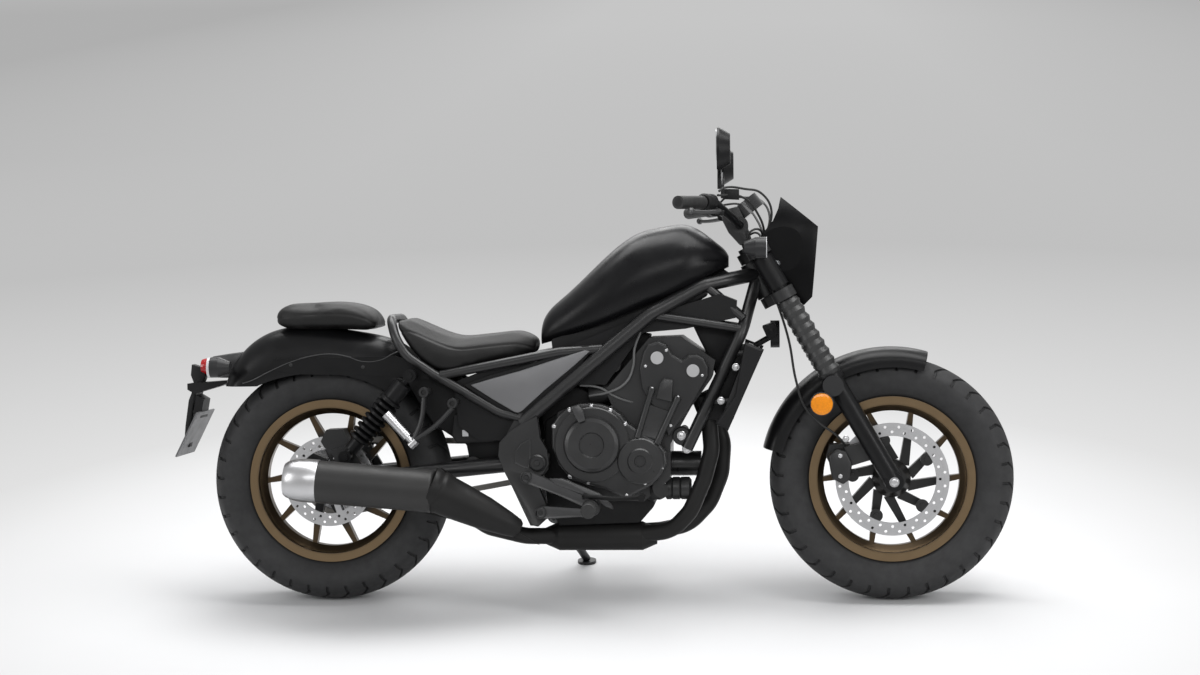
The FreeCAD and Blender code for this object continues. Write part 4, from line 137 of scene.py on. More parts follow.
def tint(tree, factor, first, last):
    """A colour that goes from first to last with the factor."""
    node = tree.nodes.new("ShaderNodeMix")
    node.data_type = "RGBA"
    node.inputs["A"].default_value = (*first, 1)
    node.inputs["B"].default_value = (*last, 1)
    join(tree, factor, node.inputs["Factor"])
    return node.outputs["Result"]


def mottled(tree, scale, detail, first, last):
    """Two close colours mixed unevenly over the surface."""
    return tint(tree, noise(tree, scale, detail), first, last)


def uneven(tree, scale, detail, first, last):
    """A number that wanders between two values over the surface."""
    return spread(tree, noise(tree, scale, detail), NOISE_LOW, NOISE_HIGH, first, last)


def darker(colour, share):
    """A colour brought down to a share of itself."""
    return tuple(channel * share for channel in colour)


def arithmetic(tree, operation, first, second=None):
    """One sum on a factor."""
    node = tree.nodes.new("ShaderNodeMath")
    node.operation = operation
    join(tree, first, node.inputs[0])
    if isinstance(second, (int, float)):
        node.inputs[1].default_value = second
    elif second is not None:
        join(tree, second, node.inputs[1])
    return node.outputs["Value"]


def relief(tree, shader, height, strength, depth):
    """Bump from a height."""
    node = tree.nodes.new("ShaderNodeBump")
    node.inputs["Strength"].default_value = strength
    node.inputs["Distance"].default_value = depth
    join(tree, height, node.inputs["Height"])
    join(tree, node.outputs["Normal"], shader.inputs["Normal"])


def measured_from(tree, centre):
    """Object coordinates from a centre, turned upright with the machine."""
    node = tree.nodes.new("ShaderNodeVectorMath")
    node.operation = "SUBTRACT"
    node.inputs[1].default_value = centre
    join(tree, place_vector(tree), node.inputs[0])
    turn = tree.nodes.new("ShaderNodeVectorRotate")
    turn.rotation_type = "X_AXIS"
    turn.inputs["Angle"].default_value = -LEAN
    join(tree, node.outputs["Vector"], turn.inputs["Vector"])
    return turn.outputs["Vector"]


def split(tree, vector):
    """The three numbers of a vector."""
    node = tree.nodes.new("ShaderNodeSeparateXYZ")
    join(tree, vector, node.inputs["Vector"])
    return node.outputs["X"], node.outputs["Y"], node.outputs["Z"]


def radius_about(tree, centre):
    """Distance from a line across the machine through a centre."""
    ahead, _, high = split(tree, measured_from(tree, centre))
    squares = arithmetic(tree, "ADD", arithmetic(tree, "MULTIPLY", ahead, ahead),
                         arithmetic(tree, "MULTIPLY", high, high))
    return arithmetic(tree, "SQRT", squares)


def beyond(tree, place, direction):
    """1 past a plane across the machine's frame and 0 before it."""
    facing = (BIKE.to_3x3() @ Vector(direction)).normalized()
    node = tree.nodes.new("ShaderNodeVectorMath")
    node.operation = "DOT_PRODUCT"
    node.inputs[1].default_value = facing
    join(tree, place_vector(tree), node.inputs[0])
    limit = facing.dot(on_bike(*place))
    return spread(tree, node.outputs["Value"], limit - MASK_EDGE, limit + MASK_EDGE, 0, 1)


def near(tree, place, reach):
    """1 inside a ball round a place in the machine's frame."""
    node = tree.nodes.new("ShaderNodeVectorMath")
    node.operation = "DISTANCE"
    node.inputs[1].default_value = on_bike(*place)
    join(tree, place_vector(tree), node.inputs[0])
    return spread(tree, node.outputs["Value"], reach - MASK_EDGE, reach + MASK_EDGE, 1, 0)


def shift_value(tree, factor, first, last):
    """A number that goes from a number or a socket's value to another with the factor."""
    node = tree.nodes.new("ShaderNodeMix")
    join(tree, factor, node.inputs["Factor"])
    if isinstance(first, float):
        node.inputs["A"].default_value = first
    else:
        join(tree, first, node.inputs["A"])
    node.inputs["B"].default_value = last
    return node.outputs["Result"]


def shift_colour(tree, factor, first, last):
    """A colour that goes from a socket's colour to another with the factor."""
    node = tree.nodes.new("ShaderNodeMix")
    node.data_type = "RGBA"
    join(tree, factor, node.inputs["Factor"])
    join(tree, first, node.inputs["A"])
    node.inputs["B"].default_value = (*last, 1)
    return node.outputs["Result"]


def two_finishes(name, base, patches, speckle=0.08):
    """One piece with areas in other finishes; each finish is colour, roughness and metallic."""
    material, tree, shader = start_material(name)
    colour, roughness, metallic = base
    paint = mottled(tree, 12, 4, darker(colour, 0.75), colour)
    gloss = uneven(tree, 30, 4, roughness - 0.04, roughness + 0.06)
    metal = metallic
    for masks, (other, rough, bare) in patches:
        factor = masks[0](tree)
        for mask in masks[1:]:
            factor = arithmetic(tree, "MULTIPLY", factor, mask(tree))
        paint = shift_colour(tree, factor, paint, other)
        gloss = shift_value(tree, factor, gloss, rough)
        metal = shift_value(tree, factor, metal, bare)
    join(tree, paint, shader.inputs["Base Color"])
    join(tree, gloss, shader.inputs["Roughness"])
    join(tree, metal, shader.inputs["Metallic"])
    shader.inputs["Specular IOR Level"].default_value = DULL
    relief(tree, shader, noise(tree, ORANGE_PEEL, 2), strength=speckle, depth=0.0002)
    return material


def painted(name, colour, roughness, coat=0.0, speckle=0.0, grain=0.0, metallic=0.0, shine=DULL):
    """Paint or powder coat, with faint uneven gloss and orange peel."""
    material, tree, shader = start_material(name)
    join(tree, mottled(tree, 9, 4, darker(colour, 0.72), colour), shader.inputs["Base Color"])
    join(tree, uneven(tree, 28, 5, roughness - 0.05, roughness + 0.07), shader.inputs["Roughness"])
    shader.inputs["Metallic"].default_value = metallic
    shader.inputs["Specular IOR Level"].default_value = shine
    shader.inputs["Coat Weight"].default_value = coat
    shader.inputs["Coat Roughness"].default_value = 0.12
    if grain:
        relief(tree, shader, cells(tree, 520), strength=grain, depth=0.0004)
    elif speckle:
        relief(tree, shader, noise(tree, ORANGE_PEEL, 2), strength=speckle, depth=0.0003)
    return material


def make_tyre_rubber():
    """Black rubber with a dusty, slightly mottled face."""
    material, tree, shader = start_material("tyre_rubber")
    join(tree, mottled(tree, 14, 5, *TYRE_SHADES), shader.inputs["Base Color"])
    join(tree, uneven(tree, 40, 4, 0.62, 0.8), shader.inputs["Roughness"])
    relief(tree, shader, noise(tree, 900, 3), strength=0.25, depth=0.0004)
    return material


def make_wheel_paint_and_shade(name, axle, change):
    """Black at the hub and dark bronze along the spokes, partly the wheel's own colours and partly painted
    shade on the inner spokes; bright bronze at the rim.
    """
    material, tree, shader = start_material(name)
    distance = radius_about(tree, axle)
    spoke = spread(tree, distance, change - SPOKE_BLEND, change + SPOKE_BLEND, 0, 1)
    rim = spread(tree, distance, RIM_FROM, RIM_FULL, 0, 1)
    hub = mottled(tree, 20, 3, *HUB_BLACK_AND_SHADE)
    paint = shift_colour(tree, spoke, hub, SPOKE_BRONZE_AND_SHADE)
    paint = shift_colour(tree, rim, paint, RIM_BRONZE)
    join(tree, paint, shader.inputs["Base Color"])
    join(tree, uneven(tree, 40, 4, 0.28, 0.36), shader.inputs["Roughness"])
    join(tree, spread(tree, spoke, 0, 1, 0.1, 0.9), shader.inputs["Metallic"])
    relief(tree, shader, noise(tree, 800, 2), strength=0.1, depth=0.0002)
    return material


def make_disc_steel(name, axle, inner):
    """Steel ground in circles, polished where the pads run."""
    material, tree, shader = start_material(name)
    distance = radius_about(tree, axle)
    rings = noise(tree, 1400, 2, vector=distance)
    steel = tint(tree, rings, *DISC_SHADES)
    carrier = spread(tree, distance, inner, inner + DISC_BLEND, 1, 0)
    join(tree, shift_colour(tree, carrier, steel, BLACK_CARRIER), shader.inputs["Base Color"])
    join(tree, spread(tree, rings, 0.2, 0.8, 0.24, 0.42), shader.inputs["Roughness"])
    join(tree, spread(tree, carrier, 0, 1, 0.9, 0.1), shader.inputs["Metallic"])
    relief(tree, shader, rings, strength=0.2, depth=0.0002)
    return material


def make_steel(name, colour, roughness, streak=(1, 1, 1)):
    """Bright or plated steel with fine streaks."""
    material, tree, shader = start_material(name)
    mapping = tree.nodes.new("ShaderNodeMapping")
    mapping.inputs["Scale"].default_value = streak
    join(tree, place_vector(tree), mapping.inputs["Vector"])
    lines = noise(tree, 260, 3, vector=mapping.outputs["Vector"])
    join(tree, tint(tree, lines, darker(colour, 0.8), colour), shader.inputs["Base Color"])
    join(tree, spread(tree, lines, 0.25, 0.75, roughness - 0.06, roughness + 0.1),
         shader.inputs["Roughness"])
    shader.inputs["Metallic"].default_value = 1.0
    relief(tree, shader, lines, strength=0.08, depth=0.0002)
    return material


def make_seat_vinyl():
    """Grained black vinyl."""
    material, tree, shader = start_material("seat_vinyl")
    grain = cells(tree, 480, "DISTANCE_TO_EDGE")
    join(tree, mottled(tree, 30, 4, *VINYL_SHADES), shader.inputs["Base Color"])
    join(tree, spread(tree, grain, 0, 0.4, 0.55, 0.42), shader.inputs["Roughness"])
    shader.inputs["Specular IOR Level"].default_value = 0.35
    relief(tree, shader, grain, strength=0.35, depth=0.0005)
    return material


def make_rubber(name, pitch):
    """Soft black rubber with fine moulded ribs."""
    material, tree, shader = start_material(name)
    ribs = tree.nodes.new("ShaderNodeTexWave")
    ribs.bands_direction = "DIAGONAL"
    ribs.inputs["Scale"].default_value = pitch
    join(tree, place_vector(tree), ribs.inputs["Vector"])
    join(tree, mottled(tree, 50, 3, *RUBBER_SHADES), shader.inputs["Base Color"])
    join(tree, uneven(tree, 90, 3, 0.55, 0.72), shader.inputs["Roughness"])
    relief(tree, shader, ribs.outputs["Fac"], strength=0.15, depth=0.0005)
    return material


def make_lens(name, colour, transmission):
    """Moulded lens with fine flutes."""
    material, tree, shader = start_material(name)
    flutes = cells(tree, 190)
    join(tree, tint(tree, flutes, colour, darker(colour, 0.8)), shader.inputs["Base Color"])
    shader.inputs["Roughness"].default_value = LENS_ROUGHNESS
    shader.inputs["Transmission Weight"].default_value = transmission
    shader.inputs["Coat Weight"].default_value = 0.15
    relief(tree, shader, flutes, strength=0.25, depth=0.0006)
    return material


SATIN = painted("satin_black", (0.0055, 0.0055, 0.006), 0.36, speckle=0.05)
FRAME = painted("frame_black", (0.014, 0.014, 0.0145), 0.33, speckle=0.05, shine=0.5)
TANK = painted("tank_black", (0.0045, 0.0045, 0.0052), 0.3, speckle=0.012, shine=0.2)
ENGINE = painted("engine_black", (0.040, 0.040, 0.0405), 0.32, speckle=0.06, metallic=0.5, shine=0.6)
PLASTIC = painted("moulded_plastic", (0.009, 0.009, 0.0095), 0.5, grain=0.25)
SIDE_GREY = painted("side_cover_grey", (0.20, 0.20, 0.205), 0.42, speckle=0.1, metallic=0.4)
COWL = painted("cowl_paint", (0.0022, 0.0022, 0.0026), 0.34, speckle=0.04, shine=0.12)
CAST = painted("cast_black", (0.030, 0.030, 0.0305), 0.38, speckle=0.2, metallic=0.3, shine=0.4)
EXHAUST = painted("exhaust_black", (0.016, 0.0157, 0.0155), 0.46, speckle=0.15, metallic=0.2)
MUFFLER = painted("muffler_black", (0.046, 0.0455, 0.045), 0.44, speckle=0.1, metallic=0.3)
# SHADE is dull black: the own colour of some black parts, and painted shade on the dark blocks filling gaps
# between parts and in the muffler's outlet.
SHADE = painted("dull_black_and_painted_shade", (0.006, 0.006, 0.0062), 0.6, speckle=0.2)
# GREY is the own colour of grey parts, and a painted highlight on the rider's rest arms.
GREY = painted("grey_and_painted_highlight", (0.085, 0.085, 0.086), 0.34, speckle=0.1, metallic=0.6)
HOSE = painted("hose_grey", (0.16, 0.16, 0.16), 0.45, speckle=0.1)
PLATE_BACK = painted("plate_back", (0.16, 0.16, 0.165), 0.4, speckle=0.05, metallic=0.3)
ORANGE = make_lens("orange_reflector", (0.86, 0.27, 0.0), 0.0)
RED_GLASS = make_lens("red_glass", (0.42, 0.010, 0.012), 0.1)
TYRE = make_tyre_rubber()
VINYL = make_seat_vinyl()
RUBBER = make_rubber("grip_rubber", 160)
CABLE = make_rubber("cable_sheath", 60)
GAITER = painted("gaiter_rubber", (0.024, 0.024, 0.0242), 0.42, speckle=0.15, shine=0.5)
FRONT_RIM = make_wheel_paint_and_shade("front_wheel_paint_and_shade", FRONT_AXLE, 0.150)
REAR_RIM = make_wheel_paint_and_shade("rear_wheel_paint_and_shade", REAR_AXLE, 0.128)
FRONT_DISC = make_disc_steel("front_disc_steel", FRONT_AXLE, 0.1138)
REAR_DISC = make_disc_steel("rear_disc_steel", REAR_AXLE, 0.060)
STEEL = make_steel("plated_steel", (0.66, 0.66, 0.67), 0.28)
CHAIN = make_steel("chain_steel", (0.34, 0.33, 0.31), 0.38)
CAP_SILVER = make_steel("brushed_cap", (0.62, 0.62, 0.63), 0.32, (1, 8, 8))
GLASS = make_steel("mirror_glass", (0.86, 0.87, 0.88), 0.06)
LAMP = make_lens("lamp_lens", (0.82, 0.84, 0.86), 0.85)
PLATE = painted("plate_white", (0.62, 0.63, 0.64), 0.38, speckle=0.04)
DIAL = painted("dial_black", (0.012, 0.012, 0.013), 0.2, coat=0.8)

# Pieces in two finishes; a finish is its colour, roughness and metallic

GREY_SHELL = ((0.030, 0.030, 0.031), 0.34, 0.0)
CLEAR_LENS = ((0.55, 0.55, 0.56), 0.12, 0.0)
HEAD_CAST = ((0.040, 0.040, 0.0405), 0.36, 0.4)
PLUG_STEEL = ((0.62, 0.62, 0.63), 0.3, 1.0)
FRONT_LENS_PLACE = (1.1655, 0, 0.928)
FRONT_LENS_FACE = (0.97, 0, -0.02)
FRONT_LENS_FOOT = (0, 0, 0.85)
REAR_LENS_PLACE = (-0.298, 0, 0.63)
PLUG_RADIUS = 0.0168
PLUG_PLACES = [(x, y, z) for y in (-0.1445, 0.1445) for x, z in ((0.881, 0.646), (0.974, 0.612))]

FRONT_SIGNALS = two_finishes("front_signal_shells", GREY_SHELL, [
    ([lambda tree: beyond(tree, FRONT_LENS_PLACE, FRONT_LENS_FACE),
      lambda tree: beyond(tree, FRONT_LENS_FOOT, (0, 0, 1))], CLEAR_LENS)])
REAR_SIGNALS = two_finishes("rear_signal_shells", GREY_SHELL, [
    ([lambda tree: beyond(tree, REAR_LENS_PLACE, (-1, 0, 0))], CLEAR_LENS)])
HEADS = two_finishes("head_cover_finish", HEAD_CAST, [
    ([lambda tree, place=place: near(tree, place, PLUG_RADIUS)], PLUG_STEEL) for place in PLUG_PLACES],
    speckle=0.2)

NODE_MATERIALS = {
    "front_tyre": TYRE, "rear_tyre": TYRE, "front_wheel": FRONT_RIM, "rear_wheel": REAR_RIM,
    "front_disc": FRONT_DISC, "rear_disc": REAR_DISC, "front_axle": STEEL, "rear_axle": STEEL,
    "rear_sprocket": STEEL, "chain": CHAIN, "steering_head": FRAME, "frame_left": FRAME,
    "frame_right": FRAME, "seat_frame": FRAME, "swingarm": FRAME, "crankcase": ENGINE,
    "cylinder_block": ENGINE, "engine_covers": ENGINE, "head_covers": HEADS, "air_box": PLASTIC,
    "electrics_tray": PLASTIC, "side_panels": SIDE_GREY, "fuel_tank": TANK, "rider_seat": VINYL,
    "pillion_seat": VINYL, "rear_fender": SATIN, "radiator": CAST, "radiator_guards": PLASTIC,
    "horn": PLASTIC, "exhaust_pipes": EXHAUST, "muffler": MUFFLER, "rear_shocks": SATIN,
    "fender_rails": SATIN, "tail_light": RED_GLASS, "plate_bracket": PLASTIC, "number_plate": PLATE_BACK,
    # The footrests and foot levers are dull black: their own black, kept matt as painted shade between the
    # grey rest arms.
    "rear_indicators": REAR_SIGNALS, "rear_caliper": CAST, "footrests": SHADE, "foot_levers": SHADE,
    "side_stand": FRAME, "pillion_brackets": FRAME, "pillion_peg_left": STEEL, "pillion_peg_right": STEEL,
    "front_fender": SATIN, "triple_clamps": CAST, "fork_tubes": SATIN, "fork_sliders": SATIN,
    "fork_gaiters": GAITER, "front_caliper": CAST, "handlebar": SATIN, "grips": RUBBER,
    "switchgear": PLASTIC, "mirrors": SATIN, "gauge": DIAL, "headlight": LAMP, "cowl": COWL,
    "front_signals": FRONT_SIGNALS, "control_cables": CABLE,
}


def dress_nodes():
    """Give every construction piece its finish."""
    for name, node in frame["nodes"].items():
        node.data.materials.clear()
        node.data.materials.append(NODE_MATERIALS[name])


# Modelling by hand

START_SIZE = 0.01
CLOSE = 0.00002
FACE_SLACK = 0.0001
SMOOTHING = 35


def start_edit(piece):
    """Take one piece into edit mode with all of it selected."""
    bpy.ops.object.select_all(action="DESELECT")
    bpy.context.view_layer.objects.active = piece
    piece.select_set(True)
    bpy.ops.object.mode_set(mode="EDIT")
    bpy.ops.mesh.select_all(action="SELECT")


def stop_edit():
    """Leave edit mode."""
    bpy.ops.object.mode_set(mode="OBJECT")


def select_faces(piece, chosen):
    """Select the faces that the test accepts, in face mode."""
    stop_edit()
    piece.data.polygons.foreach_set("select", [False] * len(piece.data.polygons))
    piece.data.edges.foreach_set("select", [False] * len(piece.data.edges))
    piece.data.vertices.foreach_set("select", [False] * len(piece.data.vertices))
    bpy.context.tool_settings.mesh_select_mode = (False, False, True)
    for face in piece.data.polygons:
        face.select = chosen(face)
    bpy.ops.object.mode_set(mode="EDIT")


def new_primitive(name, maker, **sizes):
    """Add a primitive at the origin, alone in the selection."""
    bpy.ops.object.select_all(action="DESELECT")
    maker(**sizes)
    piece = bpy.context.object
    piece.name = name
    return piece


def draw_profile(name, points):
    """A run of edges through points, drawn by extruding one vertex."""
    piece = new_primitive(name, bpy.ops.mesh.primitive_plane_add, size=START_SIZE)
    start_edit(piece)
    bpy.context.tool_settings.mesh_select_mode = (True, False, False)
    bpy.ops.mesh.merge(type="CENTER")
    bpy.ops.transform.translate(value=points[0])
    for before, after in zip(points, points[1:]):
        step = Vector(after) - Vector(before)
        bpy.ops.mesh.extrude_region_move(TRANSFORM_OT_translate={"value": step})
    return piece


def spin_profile(steps):
    """Spin the profile in edit mode round its own Z axis and close it."""
    bpy.ops.mesh.select_all(action="SELECT")
    bpy.ops.mesh.spin(steps=steps, angle=math.tau, center=(0, 0, 0), axis=(0, 0, 1))
    bpy.ops.mesh.select_all(action="SELECT")
    bpy.ops.mesh.remove_doubles(threshold=CLOSE)
    bpy.ops.mesh.normals_make_consistent(inside=False)
    stop_edit()


def facing(place, axis):
    """A turned place whose Z looks along an axis."""
    turn = Vector(axis).normalized().to_track_quat("Z", "Y")
    return Matrix.Translation(place) @ turn.to_matrix().to_4x4()


def to_side(place, side):
    """A place given for the left side, on the side that is wanted."""
    ahead, left, up = place
    return ahead, left * side, up


def sideways(places, side):
    """Several places on the side that is wanted."""
    return [to_side(place, side) for place in places]


def outwards(place, side):
    """A turned place on one side that looks away from the machine."""
    return facing(to_side(place, side), (0, side, 0))


def turned(name, rows, place, axis, steps):
    """A piece turned on a lathe: rows of radius and height along its axis."""
    piece = draw_profile(name, [(radius, 0, height) for radius, height in rows])
    spin_profile(steps)
    piece.matrix_basis = facing(place, axis)
    return piece


def side_turned(name, rows, place, side, steps):
    """A turned piece that stands out from one side of the machine."""
    return turned(name, rows, to_side(place, side), (0, side, 0), steps)


def settle(piece, body, material, angle=SMOOTHING):
    """Lean the piece with the machine, fix its place in its mesh and hang it on its body."""
    bpy.ops.object.select_all(action="DESELECT")
    bpy.context.view_layer.objects.active = piece
    piece.select_set(True)
    piece.matrix_basis = BIKE @ piece.matrix_basis
    bpy.ops.object.transform_apply(location=True, rotation=True, scale=True)
    bpy.ops.object.shade_smooth_by_angle(angle=math.radians(angle))
    piece.data.materials.clear()
    piece.data.materials.append(material)
    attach(piece, body)
    return piece


def copies(master, name, places):
    """Copies of one piece at turned places, joined into one mesh; the master goes."""
    made = []
    for place in places:
        copy = master.copy()
        copy.data = master.data.copy()
        bpy.context.scene.collection.objects.link(copy)
        copy.matrix_basis = place
        made.append(copy)
    bpy.data.objects.remove(master)
    bpy.ops.object.select_all(action="DESELECT")
    for copy in made:
        copy.select_set(True)
    bpy.context.view_layer.objects.active = made[0]
    bpy.ops.object.join()
    made[0].name = name
    return made[0]


def plate(name, outline, start, end, round_by, rim=0.0, deep=0.0):
    """A flat piece cut to an outline seen from the side, with softened edges."""
    points = [(ahead, start, up) for ahead, up in outline]
    piece = draw_profile(name, points + points[:1])
    bpy.ops.mesh.select_all(action="SELECT")
    bpy.ops.mesh.remove_doubles(threshold=CLOSE)
    bpy.ops.mesh.edge_face_add()
    bpy.ops.mesh.extrude_region_move(TRANSFORM_OT_translate={"value": (0, end - start, 0)})
    bpy.ops.mesh.select_all(action="SELECT")
    bpy.ops.mesh.normals_make_consistent(inside=False)
    if rim:
        select_faces(piece, lambda face: abs(face.normal.y) > 0.9 and abs(face.center.y - end) < FACE_SLACK)
        bpy.ops.mesh.inset(thickness=rim, depth=-deep)
    stop_edit()
    soften = piece.modifiers.new("soften", "BEVEL")
    soften.width = round_by
    soften.segments = 2
    soften.limit_method = "ANGLE"
    bpy.ops.object.modifier_apply(modifier=soften.name)
    return piece


def tube(name, points, radius):
    """A smooth round tube or hose through points."""
    bpy.ops.object.select_all(action="DESELECT")
    bpy.ops.curve.primitive_bezier_curve_add()
    piece = bpy.context.object
    piece.name = name
    spline = piece.data.splines[0]
    spline.bezier_points.add(len(points) - 2)
    for knot, point in zip(spline.bezier_points, points):
        knot.co = point
        knot.handle_left_type = "AUTO"
        knot.handle_right_type = "AUTO"
    piece.data.resolution_u = 8
    piece.data.bevel_depth = radius
    piece.data.bevel_resolution = 3
    piece.data.use_fill_caps = True
    bpy.ops.object.convert(target="MESH")
    return bpy.context.object


def one_piece(name, parts):
    """Join parts into the first of them."""
    bpy.ops.object.select_all(action="DESELECT")
    for part in parts:
        part.select_set(True)
    bpy.context.view_layer.objects.active = parts[0]
    bpy.ops.object.join()
    parts[0].name = name
    return parts[0]


# Tyres

TYRE_STEPS = 216
GROOVE_EVERY = 6
GROOVE_WALL = 0.0013
GROOVE_DEPTH = 0.0055
GROOVES_FROM_RADIUS = 0.2845
GROOVES_FROM_MIDDLE = 0.009
TREAD_SWEEP = 2.6
SWEEP_FROM_RADIUS = 0.303
WIDEST_ROW = 5
SHOULDER_ROW = 6
KNEE_ROW = 9
CAVITY_SIDE_RADIUS = 0.262
CAVITY_CROWN_RADIUS = 0.302
BEAD_THICKNESS = 0.018
SIDEWALL_THICKNESS = 0.009
CROWN_THICKNESS = 0.010
TYRE_SMOOTHING = 28
FRONT_TYRE_ROWS = [
    (0.204, 0.037), (0.2175, 0.0375), (0.224, 0.0455), (0.238, 0.0565), (0.256, 0.063), (0.272, 0.065),
    (0.284, 0.0635), (0.2925, 0.060), (0.2985, 0.0535), (0.3050, 0.0455), (0.3105, 0.0370),
    (0.3155, 0.0260), (0.3187, 0.0140), (0.3199, 0.0045)]
REAR_TYRE_ROWS = [
    (0.204, 0.045), (0.2175, 0.0455), (0.224, 0.0540), (0.238, 0.0665), (0.256, 0.0735), (0.270, 0.075),
    (0.282, 0.0735), (0.2915, 0.0690), (0.2985, 0.0610), (0.3060, 0.0500), (0.3115, 0.0395),
    (0.3168, 0.0270), (0.3203, 0.0140), (0.3216, 0.0045)]


def make_tyre(name, rows, axle, node_name, body):
    """A tyre spun from its section, with swept grooves pressed into the tread."""
    knee = rows[KNEE_ROW][1]
    shoulder = rows[SHOULDER_ROW][1]

    def swept(radius, across):
        sweep = TREAD_SWEEP * (abs(across) if radius > SWEEP_FROM_RADIUS and abs(across) < knee else knee)
        return radius * math.cos(sweep), radius * math.sin(sweep), across

    cavity = [(rows[0][0], rows[0][1] - BEAD_THICKNESS),
              (CAVITY_SIDE_RADIUS, rows[WIDEST_ROW][1] - SIDEWALL_THICKNESS),
              (CAVITY_CROWN_RADIUS, knee - CROWN_THICKNESS)]
    half = cavity[::-1] + rows
    ring = half + [(radius, -across) for radius, across in reversed(half)]
    ring.append(ring[0])
    piece = draw_profile(name, [swept(radius, across) for radius, across in ring])
    spin_profile(TYRE_STEPS)
    step = math.tau / TYRE_STEPS

    def in_groove(face):
        x, y, z = face.center
        if math.hypot(x, y) < GROOVES_FROM_RADIUS or not GROOVES_FROM_MIDDLE < abs(z) < shoulder:
            return False
        sweep = TREAD_SWEEP * min(abs(z), knee)
        turn = (math.atan2(y, x) - sweep) / step - 0.5
        return (round(turn) + (GROOVE_EVERY // 2 if z < 0 else 0)) % GROOVE_EVERY == 0

    select_faces(piece, in_groove)
    bpy.ops.mesh.inset(thickness=GROOVE_WALL, depth=-GROOVE_DEPTH, use_boundary=True)
    bpy.ops.mesh.select_all(action="DESELECT")
    stop_edit()
    piece.matrix_basis = facing((axle[0], 0, axle[1]), RIGHT)
    settle(piece, body, TYRE, TYRE_SMOOTHING)
    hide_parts(node_name)


# Seats

SEAT_VOXEL = 0.006
SMOOTH_SHARE = 0.5
SOFTEN_ROUNDS = 6
CALM_ROUNDS = 4
CLOTH_PRESSURE = 4
CLOTH_FRAMES = 20
SEAM_WIDTH = 0.0045
SEAM_DEPTH = 0.0016
SEAM_FROM_MIDDLE = 0.05
SLICE = 0.02
WELD = 0.0001


def smooth_skin(piece, name, rounds):
    """Even out a skin by a number of rounds."""
    smooth = piece.modifiers.new(name, "SMOOTH")
    smooth.factor = SMOOTH_SHARE
    smooth.iterations = rounds
    bpy.ops.object.modifier_apply(modifier=smooth.name)


def make_seat(node_name, cap, rise):
    """A padded seat, swelled from its construction solid and then seamed."""
    source = frame["nodes"][node_name]
    piece = source.copy()
    piece.data = source.data.copy()
    bpy.context.scene.collection.objects.link(piece)
    piece.name = node_name + "_cushion"
    start_edit(piece)
    bpy.ops.mesh.remove_doubles(threshold=WELD)
    stop_edit()
    remesh = piece.modifiers.new("even_skin", "REMESH")
    remesh.mode = "VOXEL"
    remesh.voxel_size = SEAT_VOXEL
    bpy.ops.object.modifier_apply(modifier=remesh.name)
    smooth_skin(piece, "soften", SOFTEN_ROUNDS)
    swell(piece, cap)
    smooth_skin(piece, "calm", CALM_ROUNDS)
    finish = piece.modifiers.new("round", "SUBSURF")
    finish.levels = 1
    finish.render_levels = 1
    bpy.ops.object.modifier_apply(modifier=finish.name)
    bpy.ops.object.shade_smooth()
    press_seams(piece, rise)
    piece.data.materials.clear()
    piece.data.materials.append(VINYL)
    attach(piece, "chassis")
    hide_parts(node_name)


def swell(piece, cap):
    """Blow the skin up a little with cloth and keep it within a cap."""
    before = [vertex.co.copy() for vertex in piece.data.vertices]
    cloth = piece.modifiers.new("padding", "CLOTH")
    cloth.settings.use_pressure = True
    cloth.settings.uniform_pressure_force = CLOTH_PRESSURE
    cloth.settings.effector_weights.gravity = 0
    for number in range(1, CLOTH_FRAMES + 1):
        bpy.context.scene.frame_set(number)
    shape = piece.evaluated_get(bpy.context.evaluated_depsgraph_get()).to_mesh()
    after = [vertex.co.copy() for vertex in shape.vertices]
    piece.modifiers.remove(cloth)
    bpy.context.scene.frame_set(1)
    for vertex, start, end in zip(piece.data.vertices, before, after):
        move = end - start
        if move.length > cap:
            move = move.normalized() * cap
        vertex.co = start + move
    piece.data.update()


def press_seams(piece, rise):
    """Press the sewn line between the seat's top and its sides into the skin."""
    upright = BIKE.inverted()
    tops = {}
    for vertex in piece.data.vertices:
        place = upright @ vertex.co
        key = math.floor(place.x / SLICE)
        tops[key] = max(tops.get(key, -1), place.z)
    normals = [vertex.normal.copy() for vertex in piece.data.vertices]
    for vertex, normal in zip(piece.data.vertices, normals):
        place = upright @ vertex.co
        spot = place.x / SLICE - 0.5
        low = math.floor(spot)
        first = tops.get(low, tops.get(low + 1))
        last = tops.get(low + 1, first)
        gap = place.z - (first + (last - first) * (spot - low) - rise)
        if abs(gap) < SEAM_WIDTH and abs(place.y) > SEAM_FROM_MIDDLE:
            vertex.co -= normal * SEAM_DEPTH * (1 - abs(gap) / SEAM_WIDTH)
    piece.data.update()


# Bolts; a size is the head's radius and its height

BOLT_SINK = 0.001
BOLT_EDGE_SHARE = 0.12
WASHER_SHARES = [(1.45, 0.22), (1.3, 0.34)]
CASE_BOLT = (0.0048, 0.006)
HEAD_BOLT = (0.004, 0.005)
TOWER_BOLT = (0.0052, 0.006)
FENDER_BOLT = (0.0052, 0.006)
RADIATOR_BOLT = (0.0068, 0.007)
MOUNT_BOLT = (0.0085, 0.008)
CALIPER_SCREW = (0.006, 0.006)
FRONT_NUT = (0.0105, 0.010)
REAR_NUT = (0.0115, 0.010)

